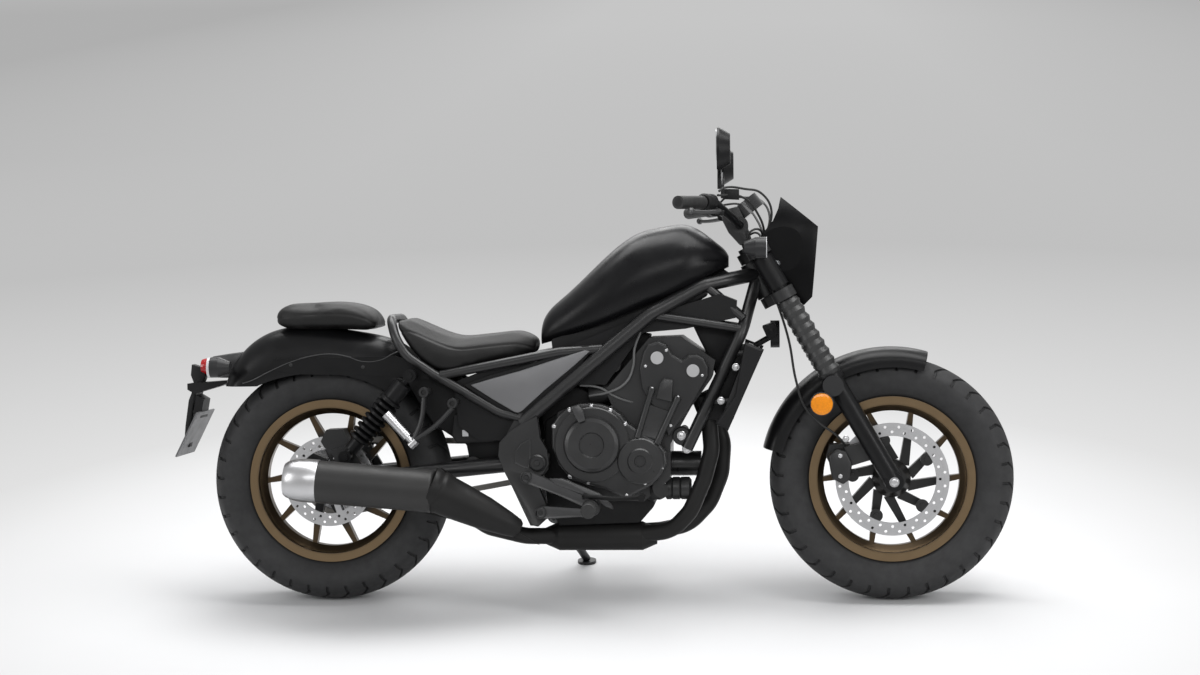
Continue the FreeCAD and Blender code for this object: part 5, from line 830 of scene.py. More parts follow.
COVER_SIDE = 0.146
CASE_BOLT_SPOTS = [
    (0.612, 0.470), (0.618, 0.408), (0.652, 0.512), (0.709, 0.521), (0.758, 0.509), (0.796, 0.474),
    (0.889, 0.361), (0.847, 0.321), (0.799, 0.290), (0.700, 0.325), (0.652, 0.340)]
HEAD_SIDE = 0.142
HEAD_BOLT_SPOTS = [(0.851, 0.625), (0.998, 0.600), (0.915, 0.470), (0.905, 0.665)]
FENDER_BOLT_SIDE = 0.1026
FENDER_BOLT_SPOTS = [(-0.091, 0.634), (0.102, 0.627)]
RADIATOR_SIDE = 0.153
RADIATOR_BOLT_SPOTS = [(1.085, 0.621), (1.046, 0.534)]
MOUNT_SIDE = 0.120
MOUNT_BOLT_SPOTS = [(0.955, 0.408), (0.941, 0.442)]
FRONT_NUT_PLACE = (1.490, 0.132, 0.320)
REAR_NUT_PLACE = (0, 0.140, 0.3217)
CALIPER_SCREW_PLACES = [(1.352, -0.124, 0.388), (1.352, -0.124, 0.335), (1.367, -0.128, 0.432)]


def make_bolt_master(size):
    """A hexagon head on a washer."""
    radius, height = size
    piece = new_primitive("bolt_master", bpy.ops.mesh.primitive_cylinder_add, vertices=6, radius=radius,
                          depth=height, location=(0, 0, height / 2))
    start_edit(piece)
    bpy.ops.mesh.bevel(offset=radius * BOLT_EDGE_SHARE, segments=2, affect="EDGES")
    stop_edit()
    (wide, low), (flat, high) = WASHER_SHARES
    rim = [(0, -BOLT_SINK), (radius * wide, -BOLT_SINK), (radius * wide, height * low),
           (radius * flat, height * high), (0, height * high)]
    washer = turned("washer", rim, (0, 0, 0), (0, 0, 1), steps=20)
    return one_piece("bolt_master", [piece, washer])


def make_bolts(name, size, places, body, material=STEEL):
    """Bolts of one size on one body, each at its own turned place."""
    settle(copies(make_bolt_master(size), name, places), body, material)


def on_side(spots, reach, side):
    """Places on one side of the machine that look outwards, from spots seen from the side."""
    return [facing((ahead, reach * side, up), (0, side, 0)) for ahead, up in spots]


def make_engine_bolts():
    """The bright bolts round the covers and on the head."""
    for side, label in SIDES:
        make_bolts(label + "_case_bolts", CASE_BOLT, on_side(CASE_BOLT_SPOTS, COVER_SIDE, side), "chassis")
    for side, label in SIDES:
        make_bolts(label + "_head_bolts", HEAD_BOLT, on_side(HEAD_BOLT_SPOTS, HEAD_SIDE, side), "chassis")


def make_nuts():
    """The nuts on both axles and the bolts of the radiator and the engine mounts."""
    for side, label in SIDES:
        make_bolts(label + "_front_axle_nut", FRONT_NUT, [outwards(FRONT_NUT_PLACE, side)], "fork")
        make_bolts(label + "_rear_axle_nut", REAR_NUT, [outwards(REAR_NUT_PLACE, side)], "chassis")
        make_bolts(label + "_radiator_bolts", RADIATOR_BOLT,
                   on_side(RADIATOR_BOLT_SPOTS, RADIATOR_SIDE, side), "chassis")
        make_bolts(label + "_engine_mount_bolts", MOUNT_BOLT,
                   on_side(MOUNT_BOLT_SPOTS, MOUNT_SIDE, side), "chassis")


# Plates cut to an outline seen from the side: the outline, the two faces across the machine,
# the softened edge, and where there is one, the rim and its depth

SIDE_PLATES = {
    "panel": ([(0.849, 0.530), (0.915, 0.506), (0.884, 0.430), (0.836, 0.446)],
              0.120, 0.147, 0.003, 0.004, 0.0015),
    "boss": ([(0.884, 0.560), (0.888, 0.580), (0.899, 0.594), (0.922, 0.589), (0.919, 0.532), (0.878, 0.542)],
             0.120, 0.1535, 0.003),
    "tray_cover": ([(0.345, 0.500), (0.440, 0.500), (0.455, 0.470), (0.452, 0.428), (0.350, 0.424),
                    (0.338, 0.445)], 0.086, 0.118, 0.004, 0.006, 0.002),
    "tray_window": ([(0.366, 0.460), (0.382, 0.460), (0.382, 0.443), (0.366, 0.443)], 0.115, 0.1175, 0.0006),
    "clutch_sensor": ([(0.660, 0.522), (0.679, 0.529), (0.689, 0.513), (0.696, 0.487), (0.678, 0.480),
                       (0.665, 0.503)], 0.150, 0.176, 0.003),
    "cover_surround": ([(0.372, 0.579), (0.444, 0.605), (0.523, 0.625), (0.628, 0.658), (0.693, 0.681),
                        (0.719, 0.675), (0.674, 0.621), (0.593, 0.554), (0.532, 0.497), (0.516, 0.492),
                        (0.497, 0.497), (0.435, 0.537)], 0.112, 0.136, 0.003),
    "side_cover": ([(0.392, 0.579), (0.444, 0.594), (0.523, 0.615), (0.628, 0.648), (0.694, 0.668),
                    (0.707, 0.665), (0.667, 0.629), (0.588, 0.565), (0.527, 0.510), (0.517, 0.505),
                    (0.506, 0.508), (0.444, 0.545)], 0.128, 0.1415, 0.0035),
    "pivot": ([(0.496, 0.459), (0.525, 0.477), (0.567, 0.498), (0.574, 0.440), (0.592, 0.409), (0.597, 0.372),
               (0.581, 0.346), (0.563, 0.336), (0.575, 0.299), (0.596, 0.247), (0.590, 0.229), (0.567, 0.208),
               (0.548, 0.213), (0.528, 0.258), (0.502, 0.307), (0.477, 0.357), (0.464, 0.394),
               (0.467, 0.428)], 0.116, 0.1495, 0.002, 0.0045, 0.0022),
    "recess": ([(0.551, 0.440), (0.522, 0.425), (0.506, 0.404), (0.506, 0.375), (0.532, 0.362),
                (0.545, 0.359), (0.550, 0.393)], 0.140, 0.1492, 0.002, 0.004, 0.0025),
    "long_arm": ([(0.531, 0.350), (0.552, 0.353), (0.627, 0.321), (0.699, 0.287), (0.720, 0.280),
                  (0.715, 0.256), (0.694, 0.259), (0.616, 0.295), (0.543, 0.322), (0.525, 0.332)],
                 0.150, 0.172, 0.003, 0.003, 0.0015),
    "low_arm": ([(0.566, 0.261), (0.587, 0.264), (0.678, 0.258), (0.704, 0.248), (0.704, 0.232),
                 (0.678, 0.235), (0.586, 0.230), (0.565, 0.233)], 0.150, 0.166, 0.003, 0.003, 0.0015),
    "pedal_arm": ([(0.599, 0.338), (0.636, 0.338), (0.731, 0.299), (0.762, 0.270), (0.767, 0.257),
                   (0.747, 0.265), (0.721, 0.283), (0.620, 0.322)], 0.176, 0.190, 0.003),
    "clamp": ([(1.032, 1.026), (1.040, 1.030), (1.062, 1.020), (1.058, 1.008), (1.036, 1.012)],
              0.248, 0.268, 0.003),
    "fluid_cup": ([(1.060, 1.052), (1.098, 1.050), (1.098, 1.076), (1.060, 1.077)],
                  0.236, 0.196, 0.004, 0.003, -0.002),
    "riser": ([(1.052, 1.030), (1.093, 1.040), (1.114, 0.997), (1.129, 0.950), (1.098, 0.937), (1.067, 0.972),
               (1.051, 1.004)], 0.040, 0.066, 0.005),
    "caliper_body": ([(1.321, 0.388), (1.342, 0.406), (1.368, 0.401), (1.383, 0.370), (1.378, 0.328),
                      (1.360, 0.313), (1.331, 0.328)], 0.076, 0.122, 0.004, 0.006, -0.003),
}

# Blocks across the middle of the machine: the outline, half the width and the softened edge

MIDDLE_BLOCKS = {
    "back_block": ([(0.619, 0.586), (0.660, 0.640), (0.793, 0.715), (0.859, 0.705), (0.835, 0.592),
                    (0.800, 0.560), (0.800, 0.520), (0.724, 0.515), (0.631, 0.520)], 0.060, 0.004),
    "gear_block": ([(0.582, 0.481), (0.624, 0.507), (0.700, 0.500), (0.840, 0.420), (0.868, 0.255),
                    (0.828, 0.210), (0.616, 0.203), (0.584, 0.256), (0.575, 0.349)], 0.085, 0.006),
    "shelf": ([(0.600, 0.696), (0.730, 0.739), (0.836, 0.784), (0.955, 0.842), (1.000, 0.864), (1.010, 0.806),
               (0.966, 0.779), (0.835, 0.702), (0.730, 0.661), (0.606, 0.640)], 0.088, 0.006),
    "shelf_nose": ([(0.970, 0.846), (1.040, 0.884), (1.074, 0.862), (0.980, 0.794)], 0.034, 0.006),
    "tray_block": ([(0.330, 0.527), (0.384, 0.540), (0.463, 0.489), (0.500, 0.440), (0.500, 0.400),
                    (0.461, 0.352), (0.385, 0.350), (0.372, 0.420), (0.330, 0.442)], 0.088, 0.005),
    "inner_fender": ([(0.205, 0.613), (0.280, 0.628), (0.399, 0.551), (0.464, 0.490), (0.463, 0.432),
                      (0.350, 0.433), (0.290, 0.472), (0.245, 0.539)], 0.104, 0.006),
    "shroud": ([(1.083, 0.669), (1.116, 0.676), (1.047, 0.481), (0.995, 0.481), (1.022, 0.554),
                (1.048, 0.606)], 0.100, 0.004),
    "corner_block": ([(0.562, 0.540), (0.637, 0.587), (0.737, 0.534), (0.726, 0.481), (0.619, 0.455),
                      (0.580, 0.450)], 0.080, 0.006),
    "head_block": ([(0.964, 0.745), (1.090, 0.722), (1.063, 0.636), (1.032, 0.596), (1.006, 0.657),
                    (0.990, 0.689)], 0.060, 0.006),
    "horn_case": ([(1.153, 0.724), (1.185, 0.735), (1.200, 0.703), (1.169, 0.687)], 0.040, 0.004),
    "tail_shell": ([(-0.325, 0.655), (-0.274, 0.663), (-0.219, 0.670), (-0.241, 0.625), (-0.269, 0.598),
                    (-0.307, 0.599), (-0.326, 0.607)], 0.050, 0.010),
    "plate_arm": ([(-0.383, 0.635), (-0.350, 0.624), (-0.345, 0.602), (-0.379, 0.524), (-0.389, 0.456),
                   (-0.392, 0.410), (-0.408, 0.410), (-0.403, 0.469), (-0.393, 0.537), (-0.376, 0.578),
                   (-0.386, 0.605)], 0.016, 0.003),
}


def side_plate(kind, side, name=None):
    """A plate from the table, on one side of the machine."""
    outline, near_face, far_face, *finish = SIDE_PLATES[kind]
    return plate(name or kind, outline, near_face * side, far_face * side, *finish)


def middle_block(kind):
    """A block from the table, across the middle of the machine."""
    outline, half_width, edge = MIDDLE_BLOCKS[kind]
    return plate(kind, outline, -half_width, half_width, edge)


# The engine and what stands round it

TOWER_SIDE = 0.147
TOWER_ENDS = [((0.868, 0.568), (0.828, 0.440)), ((0.935, 0.545), (0.878, 0.424))]
TOWER_SHARES = [(0, 0), (0.0095, 0), (0.0085, 0.1), (0.0082, 0.9), (0.0098, 0.93), (0.0098, 1), (0, 1)]
INTAKE_PARTS = [
    ("throttle", [(0, 0), (0.020, 0), (0.023, 0.006), (0.023, 0.020), (0.020, 0.026), (0.026, 0.030),
                  (0.026, 0.05), (0, 0.05)], (0.763, -0.098, 0.627), (0, 1, 0), 32),
    ("starter", [(0, 0), (0.024, 0), (0.026, 0.004), (0.026, 0.06), (0.020, 0.07), (0, 0.07)],
     (0.700, -0.075, 0.545), (1, 0, 0.2), 32),
    ("sender", [(0, 0), (0.008, 0), (0.008, 0.02), (0.012, 0.022), (0.012, 0.05), (0, 0.05)],
     (0.735, -0.09, 0.575), (0.4, 0, 1), 20)]
FILTER_PARTS = [
    ("filter", [(0, 0), (0.026, 0), (0.030, 0.003), (0.030, 0.014), (0.027, 0.017), (0.030, 0.020),
                (0.030, 0.036), (0.027, 0.039), (0.030, 0.042), (0.030, 0.062), (0.022, 0.068), (0, 0.068)],
     (0.897, -0.062, 0.300), (1, 0, 0), 32),
    ("elbow", [(0, 0), (0.018, 0), (0.018, 0.03), (0.024, 0.032), (0.024, 0.046), (0, 0.046)],
     (0.860, -0.085, 0.285), (0.3, -0.4, 0.2), 24),
    ("mount", [(0, 0), (0.022, 0), (0.024, 0.004), (0.024, 0.05), (0, 0.05)],
     (0.942, -0.115, 0.440), (0, 1, 0), 24)]
BREATHER_RUNS = [
    ([(0.838, -0.10, 0.716), (0.822, -0.115, 0.672), (0.817, -0.12, 0.620), (0.798, -0.12, 0.582),
      (0.757, -0.115, 0.558), (0.700, -0.10, 0.546)], 0.0032),
    ([(0.676, -0.10, 0.574), (0.729, -0.11, 0.568), (0.765, -0.11, 0.547), (0.803, -0.105, 0.532),
      (0.845, -0.09, 0.524)], 0.0028)]


def make_cylinder_towers():
    """The long bolt towers between the head and the crankcase, with bright heads."""
    for side, label in SIDES:
        towers = []
        heads = []
        for (top_x, top_z), (foot_x, foot_z) in TOWER_ENDS:
            top = Vector((top_x, TOWER_SIDE * side, top_z))
            foot = Vector((foot_x, TOWER_SIDE * side, foot_z))
            length = (top - foot).length
            rows = [(radius, length * share) for radius, share in TOWER_SHARES]
            towers.append(turned("tower", rows, foot, top - foot, steps=16))
            heads.append(facing(top, top - foot))
        settle(one_piece(label + "_bolt_towers", towers), "chassis", ENGINE)
        make_bolts(label + "_tower_heads", TOWER_BOLT, heads, "chassis")


def make_engine_fillers():
    """The cast blocks, intake parts and hoses that close the view round the engine; the back and gear blocks
    are painted shade, dull black in the gaps between parts.
    """
    # The back and gear blocks are painted shade: dull black where shade falls between the engine's parts.
    dark = [middle_block("back_block"), middle_block("gear_block")]
    settle(one_piece("engine_shade_blocks", dark), "chassis", SHADE)
    panels = [side_plate(kind, side) for side, _ in SIDES for kind in ("panel", "boss")]
    settle(one_piece("cylinder_panels", panels), "chassis", ENGINE)
    shelf = [middle_block("shelf"), middle_block("shelf_nose")]
    settle(one_piece("tank_shelf", shelf), "chassis", PLASTIC)
    tray = [middle_block("tray_block")] + [side_plate("tray_cover", side) for side, _ in SIDES]
    settle(one_piece("battery_tray", tray), "chassis", PLASTIC)
    settle(side_plate("tray_window", -1), "chassis", PLATE)
    intake = [turned(*part) for part in INTAKE_PARTS]
    settle(one_piece("intake_parts", intake), "chassis", CAST)
    settle(side_plate("clutch_sensor", -1), "chassis", GREY)
    hoses = [tube("hose", points, radius) for points, radius in BREATHER_RUNS]
    settle(one_piece("breather_hoses", hoses), "chassis", HOSE)
    lower = [turned(*part) for part in FILTER_PARTS]
    settle(one_piece("filter_and_mounts", lower), "chassis", CAST)


def make_side_covers():
    """The triangular side covers in their black surrounds, and the dark parts behind them."""
    for side, label in SIDES:
        surround = side_plate("cover_surround", side, label + "_cover_surround")
        settle(surround, "chassis", SHADE)
        cover = side_plate("side_cover", side, label + "_side_cover")
        settle(cover, "chassis", SIDE_GREY)
        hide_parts("side_panels")
    dark = [middle_block(kind) for kind in ("inner_fender", "shroud", "corner_block")]
    settle(one_piece("inner_blocks", dark), "chassis", SHADE)


# Pivot plates and footrests

PIVOT_CAP_ROWS = [(0, 0), (0.022, 0), (0.022, 0.006), (0.0185, 0.009), (0.0175, 0.006), (0.008, 0.006),
                  (0.007, 0.009), (0, 0.009)]
PIVOT_CAP_PLACE = (0.566, 0.147, 0.375)
CUP_ROWS = [(0, 0.008), (0.006, 0.008), (0.008, 0.003), (0.011, 0.003), (0.012, 0.012), (0.015, 0.011),
            (0.016, 0), (0, 0)]
CUP_PLACES = [(0.539, 0.165, 0.339), (0.575, 0.158, 0.246)]
PEG_PLACE = (0.708, 0.174, 0.262)
PEG_START_ROWS = [(0, 0), (0.015, 0), (0.015, 0.010), (0.0195, 0.013)]
PEG_REACH = 0.103
PEG_RIBS = 7
PEG_PITCH = 0.0125
RIB_SHARES = [(0.0195, 0.55), (0.0172, 0.65), (0.0172, 0.9), (0.0195, 1)]
PEG_END_RADIUS = 0.0170
HUB_ROWS = [(0, 0), (0.020, 0), (0.025, 0.004), (0.025, 0.018), (0.021, 0.024), (0.0165, 0.026), (0, 0.026)]
HUB_PLACE = (0.708, 0.150, 0.262)


def peg_rows():
    """The section of a ribbed rubber peg."""
    rows = list(PEG_START_ROWS)
    start = rows[-1][1]
    for rib in range(PEG_RIBS):
        foot = start + rib * PEG_PITCH
        rows += [(radius, foot + PEG_PITCH * share) for radius, share in RIB_SHARES]
    return rows + [(PEG_END_RADIUS, PEG_REACH), (0, PEG_REACH)]


def make_side_plates():
    """The pivot plates with their caps, and the rider's pegs on their arms."""
    for side, label in SIDES:
        plates = [side_plate("pivot", side), side_plate("recess", side),
                  side_turned("cap", PIVOT_CAP_ROWS, PIVOT_CAP_PLACE, side, steps=40)]
        settle(one_piece(label + "_pivot_plate", plates), "chassis", FRAME)
        # The rest arms are grey all over, a painted highlight standing in for the light on their tops.
        arms = [side_plate(kind, side) for kind in ("long_arm", "low_arm", "pedal_arm")]
        settle(one_piece(label + "_rest_arms", arms), "chassis", GREY)
        peg = side_turned(label + "_rider_peg", peg_rows(), PEG_PLACE, side, steps=32)
        settle(peg, "chassis", RUBBER)
        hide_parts("footrests")
        hub = side_turned(label + "_peg_hub", HUB_ROWS, HUB_PLACE, side, steps=32)
        settle(hub, "chassis", CAST)
        cups = [side_turned("cup", CUP_ROWS, place, side, steps=28) for place in CUP_PLACES]
        settle(one_piece(label + "_arm_cups", cups), "chassis", CAST)


# Exhaust and rear fender

SHIELD_START = Vector((0.304, -0.2324, 0.315))
SHIELD_END = Vector((0.524, -0.190, 0.206))
SHIELD_BAND = [(0.030, -0.012), (0.055, -0.012), (0.0565, -0.009), (0.0565, 0.002), (0.0545, 0.005),
               (0.0535, 0.012), (0.0555, 0.015), (0.0555, 0.024), (0.0535, 0.027)]
SHIELD_TAPER_SHARES = [(0.050, 0.32), (0.043, 0.6), (0.032, 0.85), (0.025, 0.97), (0.018, 1), (0, 1)]
MUFFLER_END = Vector((-0.0370, -0.2324, 0.3399))
MUFFLER_LINE = Vector((-0.9972, 0, 0.0752))
MUFFLER_CAP_ROWS = [(0.0548, -0.044), (0.0562, -0.042), (0.0562, -0.010), (0.0552, 0.006), (0.0520, 0.024),
                    (0.0465, 0.038), (0.0420, 0.044), (0.0385, 0.042), (0.0370, 0.034), (0.0370, 0.020)]
OUTLET_ROWS = [(0.0372, 0.030), (0.0350, 0.026), (0.0180, 0.024), (0.0160, 0.030), (0.0140, 0.024),
               (0.0140, 0.004), (0, 0.004)]
FENDER_SEAM_SIDE = 0.1036
FENDER_SEAM_RADIUS = 0.0017
FENDER_SEAM = [(-0.222, 0.586), (-0.201, 0.592), (-0.147, 0.618), (-0.093, 0.641), (-0.040, 0.656),
               (0.015, 0.662), (0.060, 0.655), (0.100, 0.642), (0.148, 0.645), (0.188, 0.664), (0.215, 0.672)]


def make_heat_shield():
    """The tapered shield from the muffler to the pipe, with a band at its wide end."""
    line = SHIELD_END - SHIELD_START
    rows = SHIELD_BAND + [(radius, line.length * share) for radius, share in SHIELD_TAPER_SHARES]
    shield = turned("muffler_shield", rows, SHIELD_START, line, steps=48)
    settle(shield, "chassis", EXHAUST)


def make_muffler_cap():
    """The brushed end cap of the muffler with its deep outlet, dull black as painted shade inside the pipe.
    """
    cap = turned("muffler_end_cap", MUFFLER_CAP_ROWS, MUFFLER_END, MUFFLER_LINE, steps=64)
    settle(cap, "chassis", CAP_SILVER)
    outlet = turned("muffler_outlet", OUTLET_ROWS, MUFFLER_END, MUFFLER_LINE, steps=48)
    # The outlet is painted shade: dull black deep inside the pipe.
    settle(outlet, "chassis", SHADE)


def make_fender_trim():
    """The raised seam and the two bolts on each side of the rear fender."""
    seams = [tube("seam", [(ahead, FENDER_SEAM_SIDE * side, up) for ahead, up in FENDER_SEAM],
                  FENDER_SEAM_RADIUS) for side, _ in SIDES]
    settle(one_piece("rear_fender_seams", seams), "chassis", GREY)
    places = [place for side, _ in SIDES for place in on_side(FENDER_BOLT_SPOTS, FENDER_BOLT_SIDE, side)]
    make_bolts("rear_fender_bolts", FENDER_BOLT, places, "chassis", CAST)


# Bars, cables and the front

HOUSING_INNER = (1.030, 0.250, 1.0435)
HOUSING_OUTER = (1.008, 0.292, 1.0425)
HOUSING_EDGE = 0.004
LEVER_RADIUS = 0.0058
LEVER = [(1.048, 0.256, 1.020), (1.046, 0.292, 1.018), (1.024, 0.335, 1.015), (0.996, 0.378, 1.014),
         (0.982, 0.398, 1.015)]
BALL_ROWS = [(0, 0), (0.006, 0.001), (0.0095, 0.006), (0.0095, 0.011), (0.006, 0.016), (0, 0.017)]
BALL_PLACE = (0.986, 0.392, 1.015)
BALL_LINE = (-0.016, 0.02, 0.001)
HOSE_RADIUS = 0.0032
CABLE_RADIUS = 0.0030
BRAKE_HOSE = [(1.150, -0.060, 0.915), (1.185, -0.068, 0.810), (1.222, -0.078, 0.690), (1.241, -0.088, 0.580),
              (1.262, -0.092, 0.515), (1.300, -0.092, 0.472), (1.345, -0.090, 0.438), (1.372, -0.085, 0.405)]
RIGHT_LOOPS = [
    [(1.048, -0.268, 1.070), (1.060, -0.250, 1.079), (1.112, -0.195, 1.078), (1.158, -0.130, 1.066),
     (1.180, -0.100, 1.028), (1.172, -0.080, 0.975), (1.150, -0.060, 0.915)],
    [(1.044, -0.262, 1.060), (1.104, -0.190, 1.058), (1.143, -0.120, 1.020), (1.161, -0.070, 0.962),
     (1.144, -0.040, 0.905)],
    [(1.116, -0.070, 0.952), (1.126, -0.078, 0.972), (1.148, -0.072, 0.977), (1.158, -0.050, 0.945)]]
LEFT_LOOP_SHARE = 0.97
LEFT_LOOP_BACK = 0.004
LEFT_LOOP_DOWN = 0.006
REFLECTOR_PLACE = (1.305, 0.148, 0.524)
REFLECTOR_SHELL_ROWS = [(0, -0.010), (0.026, -0.010), (0.0305, -0.004), (0.0305, 0.006), (0.0285, 0.007),
                        (0.0285, 0.003), (0, 0.003)]
REFLECTOR_LENS_ROWS = [(0.0283, 0.002), (0.0283, 0.006), (0.024, 0.0075), (0.012, 0.0085), (0, 0.0088)]
HORN_SCREW_ROWS = [(0, 0), (0.009, 0), (0.009, 0.003), (0.004, 0.005), (0, 0.005)]
HORN_SCREW_PLACE = (1.177, -0.040, 0.712)
GLASS_PLACE = (1.0457, 0.3668, 1.170)
GLASS_ROWS = [(0.050, -0.001), (0.0505, 0.001), (0.049, 0.0022), (0.030, 0.0034), (0, 0.0038)]


def housing_rows(reach):
    """The section of a switch housing in two halves."""
    return [(0, 0), (0.017, 0), (0.021, HOUSING_EDGE), (0.021, reach * 0.45), (0.0195, reach * 0.5),
            (0.0215, reach * 0.55), (0.0215, reach - HOUSING_EDGE), (0.018, reach), (0, reach)]


def make_controls():
    """Switch housings, levers with ball ends, and the brake fluid cup."""
    housings = []
    levers = []
    for side, _ in SIDES:
        inner, outer = (Vector(place) for place in sideways([HOUSING_INNER, HOUSING_OUTER], side))
        line = outer - inner
        housings.append(turned("housing", housing_rows(line.length), inner, line, steps=32))
        housings.append(side_plate("clamp", side))
        levers.append(tube("lever", sideways(LEVER, side), LEVER_RADIUS))
        place, end_line = sideways([BALL_PLACE, BALL_LINE], side)
        levers.append(turned("ball", BALL_ROWS, place, end_line, steps=20))
    housings.append(side_plate("fluid_cup", -1))
    settle(one_piece("switch_housings", housings), "fork", PLASTIC)
    hand_levers = settle(one_piece("hand_levers", levers), "fork", GREY)
    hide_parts("switchgear")


def make_cables():
    """Control cables looping from the bars to the head, and the brake hose down the fork."""
    runs = [tube("brake_hose", BRAKE_HOSE, HOSE_RADIUS)]
    for loop in RIGHT_LOOPS:
        runs.append(tube("cable", loop, CABLE_RADIUS))
        left = [(x - LEFT_LOOP_BACK, -y * LEFT_LOOP_SHARE, z - LEFT_LOOP_DOWN) for x, y, z in loop]
        runs.append(tube("cable", left, CABLE_RADIUS))
    piece = settle(one_piece("cable_runs", runs), "fork", CABLE)
    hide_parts("control_cables")


def make_front_details():
    """Side reflectors, bar risers, the horn's square case, the caliper's body and its screws."""
    for side, label in SIDES:
        shell = side_turned(label + "_reflector_shell", REFLECTOR_SHELL_ROWS, REFLECTOR_PLACE, side, steps=48)
        settle(shell, "fork", CAST)
        lens = side_turned(label + "_reflector_lens", REFLECTOR_LENS_ROWS, REFLECTOR_PLACE, side, steps=48)
        settle(lens, "fork", ORANGE)
    risers = [side_plate("riser", side) for side, _ in SIDES]
    settle(one_piece("bar_risers", risers), "fork", CAST)
    horn = [middle_block("horn_case"),
            turned("horn_screw", HORN_SCREW_ROWS, HORN_SCREW_PLACE, RIGHT, steps=24)]
    settle(one_piece("horn_case", horn), "chassis", PLASTIC)
    settle(middle_block("head_block"), "chassis", PLASTIC)
    settle(side_plate("caliper_body", -1), "fork", CAST)
    places = [facing(place, RIGHT) for place in CALIPER_SCREW_PLACES]
    make_bolts("caliper_screws", CALIPER_SCREW, places, "fork")


def make_mirror_glass():
    """A slightly domed glass in each mirror."""
    for side, label in SIDES:
        glass = turned(label + "_mirror_glass", GLASS_ROWS, to_side(GLASS_PLACE, side), (-1, 0, 0), steps=40)
        settle(glass, "fork", GLASS)


# The rear end

TAIL_LENS_ROWS = [(0.0225, -0.012), (0.0225, 0.018), (0.0200, 0.026), (0.012, 0.029), (0, 0.030)]
TAIL_LENS_PLACE = (-0.331, 0, 0.627)
BRACKET_SIDE = 0.205
BRACKET_HINGE = (0.250, 0.438)
BRACKET_RINGS = [(0.280, 0.564), (0.354, 0.535)]
RING_ROWS = [(0.007, 0), (0.0125, 0), (0.0135, 0.002), (0.0135, 0.014), (0.0125, 0.016), (0.007, 0.016),
             (0.007, 0)]
RING_HALF_WIDTH = 0.008
STAY_ROWS = [(0, 0), (0.0085, 0), (0.0085, 0.075), (0, 0.075)]
BRACKET_TUBE_RADIUS = 0.0068
BRACKET_TUBE_DROP = 0.012
BRACKET_BOW_SHARES = (0.55, 0.45)
BRACKET_BOW = 0.006


def make_pillion_bracket(side):
    """Two rings on stays, and a bent tube from each of them to the peg's hinge."""
    across = BRACKET_SIDE * side
    hinge = (BRACKET_HINGE[0], across, BRACKET_HINGE[1])
    more, less = BRACKET_BOW_SHARES
    parts = []
    for ahead, up in BRACKET_RINGS:
        parts.append(turned("ring", RING_ROWS, (ahead, across - RING_HALF_WIDTH, up), LEFTWARD, steps=32))
        parts.append(turned("stay", STAY_ROWS, (ahead, across, up), (0, -side, 0), steps=20))
        middle = (ahead * more + hinge[0] * less + BRACKET_BOW, across, up * less + hinge[2] * more)
        bend = [(ahead, across, up - BRACKET_TUBE_DROP), middle, hinge]
        parts.append(tube("arm", bend, BRACKET_TUBE_RADIUS))
    return parts


def make_rear_details():
    """The tail lamp's shell and round lens, the plate's arm and the pillion brackets."""
    shell = settle(middle_block("tail_shell"), "chassis", GREY)
    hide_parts("tail_light")
    lens = turned("tail_lens", TAIL_LENS_ROWS, TAIL_LENS_PLACE, (-1, 0, 0), steps=48)
    settle(lens, "chassis", RED_GLASS)
    settle(middle_block("plate_arm"), "chassis", PLASTIC)
    parts = make_pillion_bracket(-1) + make_pillion_bracket(1)
    brackets = settle(one_piece("pillion_bracket_tubes", parts), "chassis", FRAME)
    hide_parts("pillion_brackets")


make_tyre("front_treaded_tyre", FRONT_TYRE_ROWS, (1.490, FRONT_TYRE_RADIUS), "front_tyre", "front_wheel")
make_tyre("rear_treaded_tyre", REAR_TYRE_ROWS, (0.0, REAR_TYRE_RADIUS), "rear_tyre", "rear_wheel")
make_seat("rider_seat", cap=0.005, rise=0.034)
make_seat("pillion_seat", cap=0.004, rise=0.032)
make_engine_bolts()
make_cylinder_towers()
make_engine_fillers()
make_side_covers()
make_side_plates()
make_heat_shield()
make_muffler_cap()
make_fender_trim()
make_controls()
make_cables()
make_nuts()
make_front_details()
make_rear_details()
make_mirror_glass()


# Floor, light and camera

FLOOR_SIZE = 160.0
FLOOR_SHADES = ((0.70, 0.70, 0.705), (0.73, 0.73, 0.735))
LIT_RADIUS, FADED_RADIUS = 1.1, 2.2
# The backdrop's greys paint the studio light's falloff: a painted pool of light near the machine, painted
# shade further off and at the sides.
NEAR_LIT_GREY = 0.80
FAR_GREY = 0.53
HIGH_GREY = 0.565
CORNER_SHADE_GREY = 0.43
SKY_GREY = 0.50
SOFT_LIGHT = (0.96, 0.98, 1.0)
SOFT_STRENGTH = 0.36

# The distances over which one grey passes into the next

FADE_FROM, FADE_TO = 1.8, 6.0
HIGH_BAND = (6.0, 30.0)
BEHIND_BAND = (4.0, 12.0)
CORNER_BAND = (2.6, 10.0)
SKY_BAND = (42.0, 75.0)


def picture_ray(tree):
    """1 on rays that the camera sees straight, mirrored or through glass."""
    path = tree.nodes.new("ShaderNodeLightPath")
    seen = arithmetic(tree, "MAXIMUM", path.outputs["Is Camera Ray"], path.outputs["Is Glossy Ray"])
    return arithmetic(tree, "MAXIMUM", seen, path.outputs["Is Transmission Ray"])


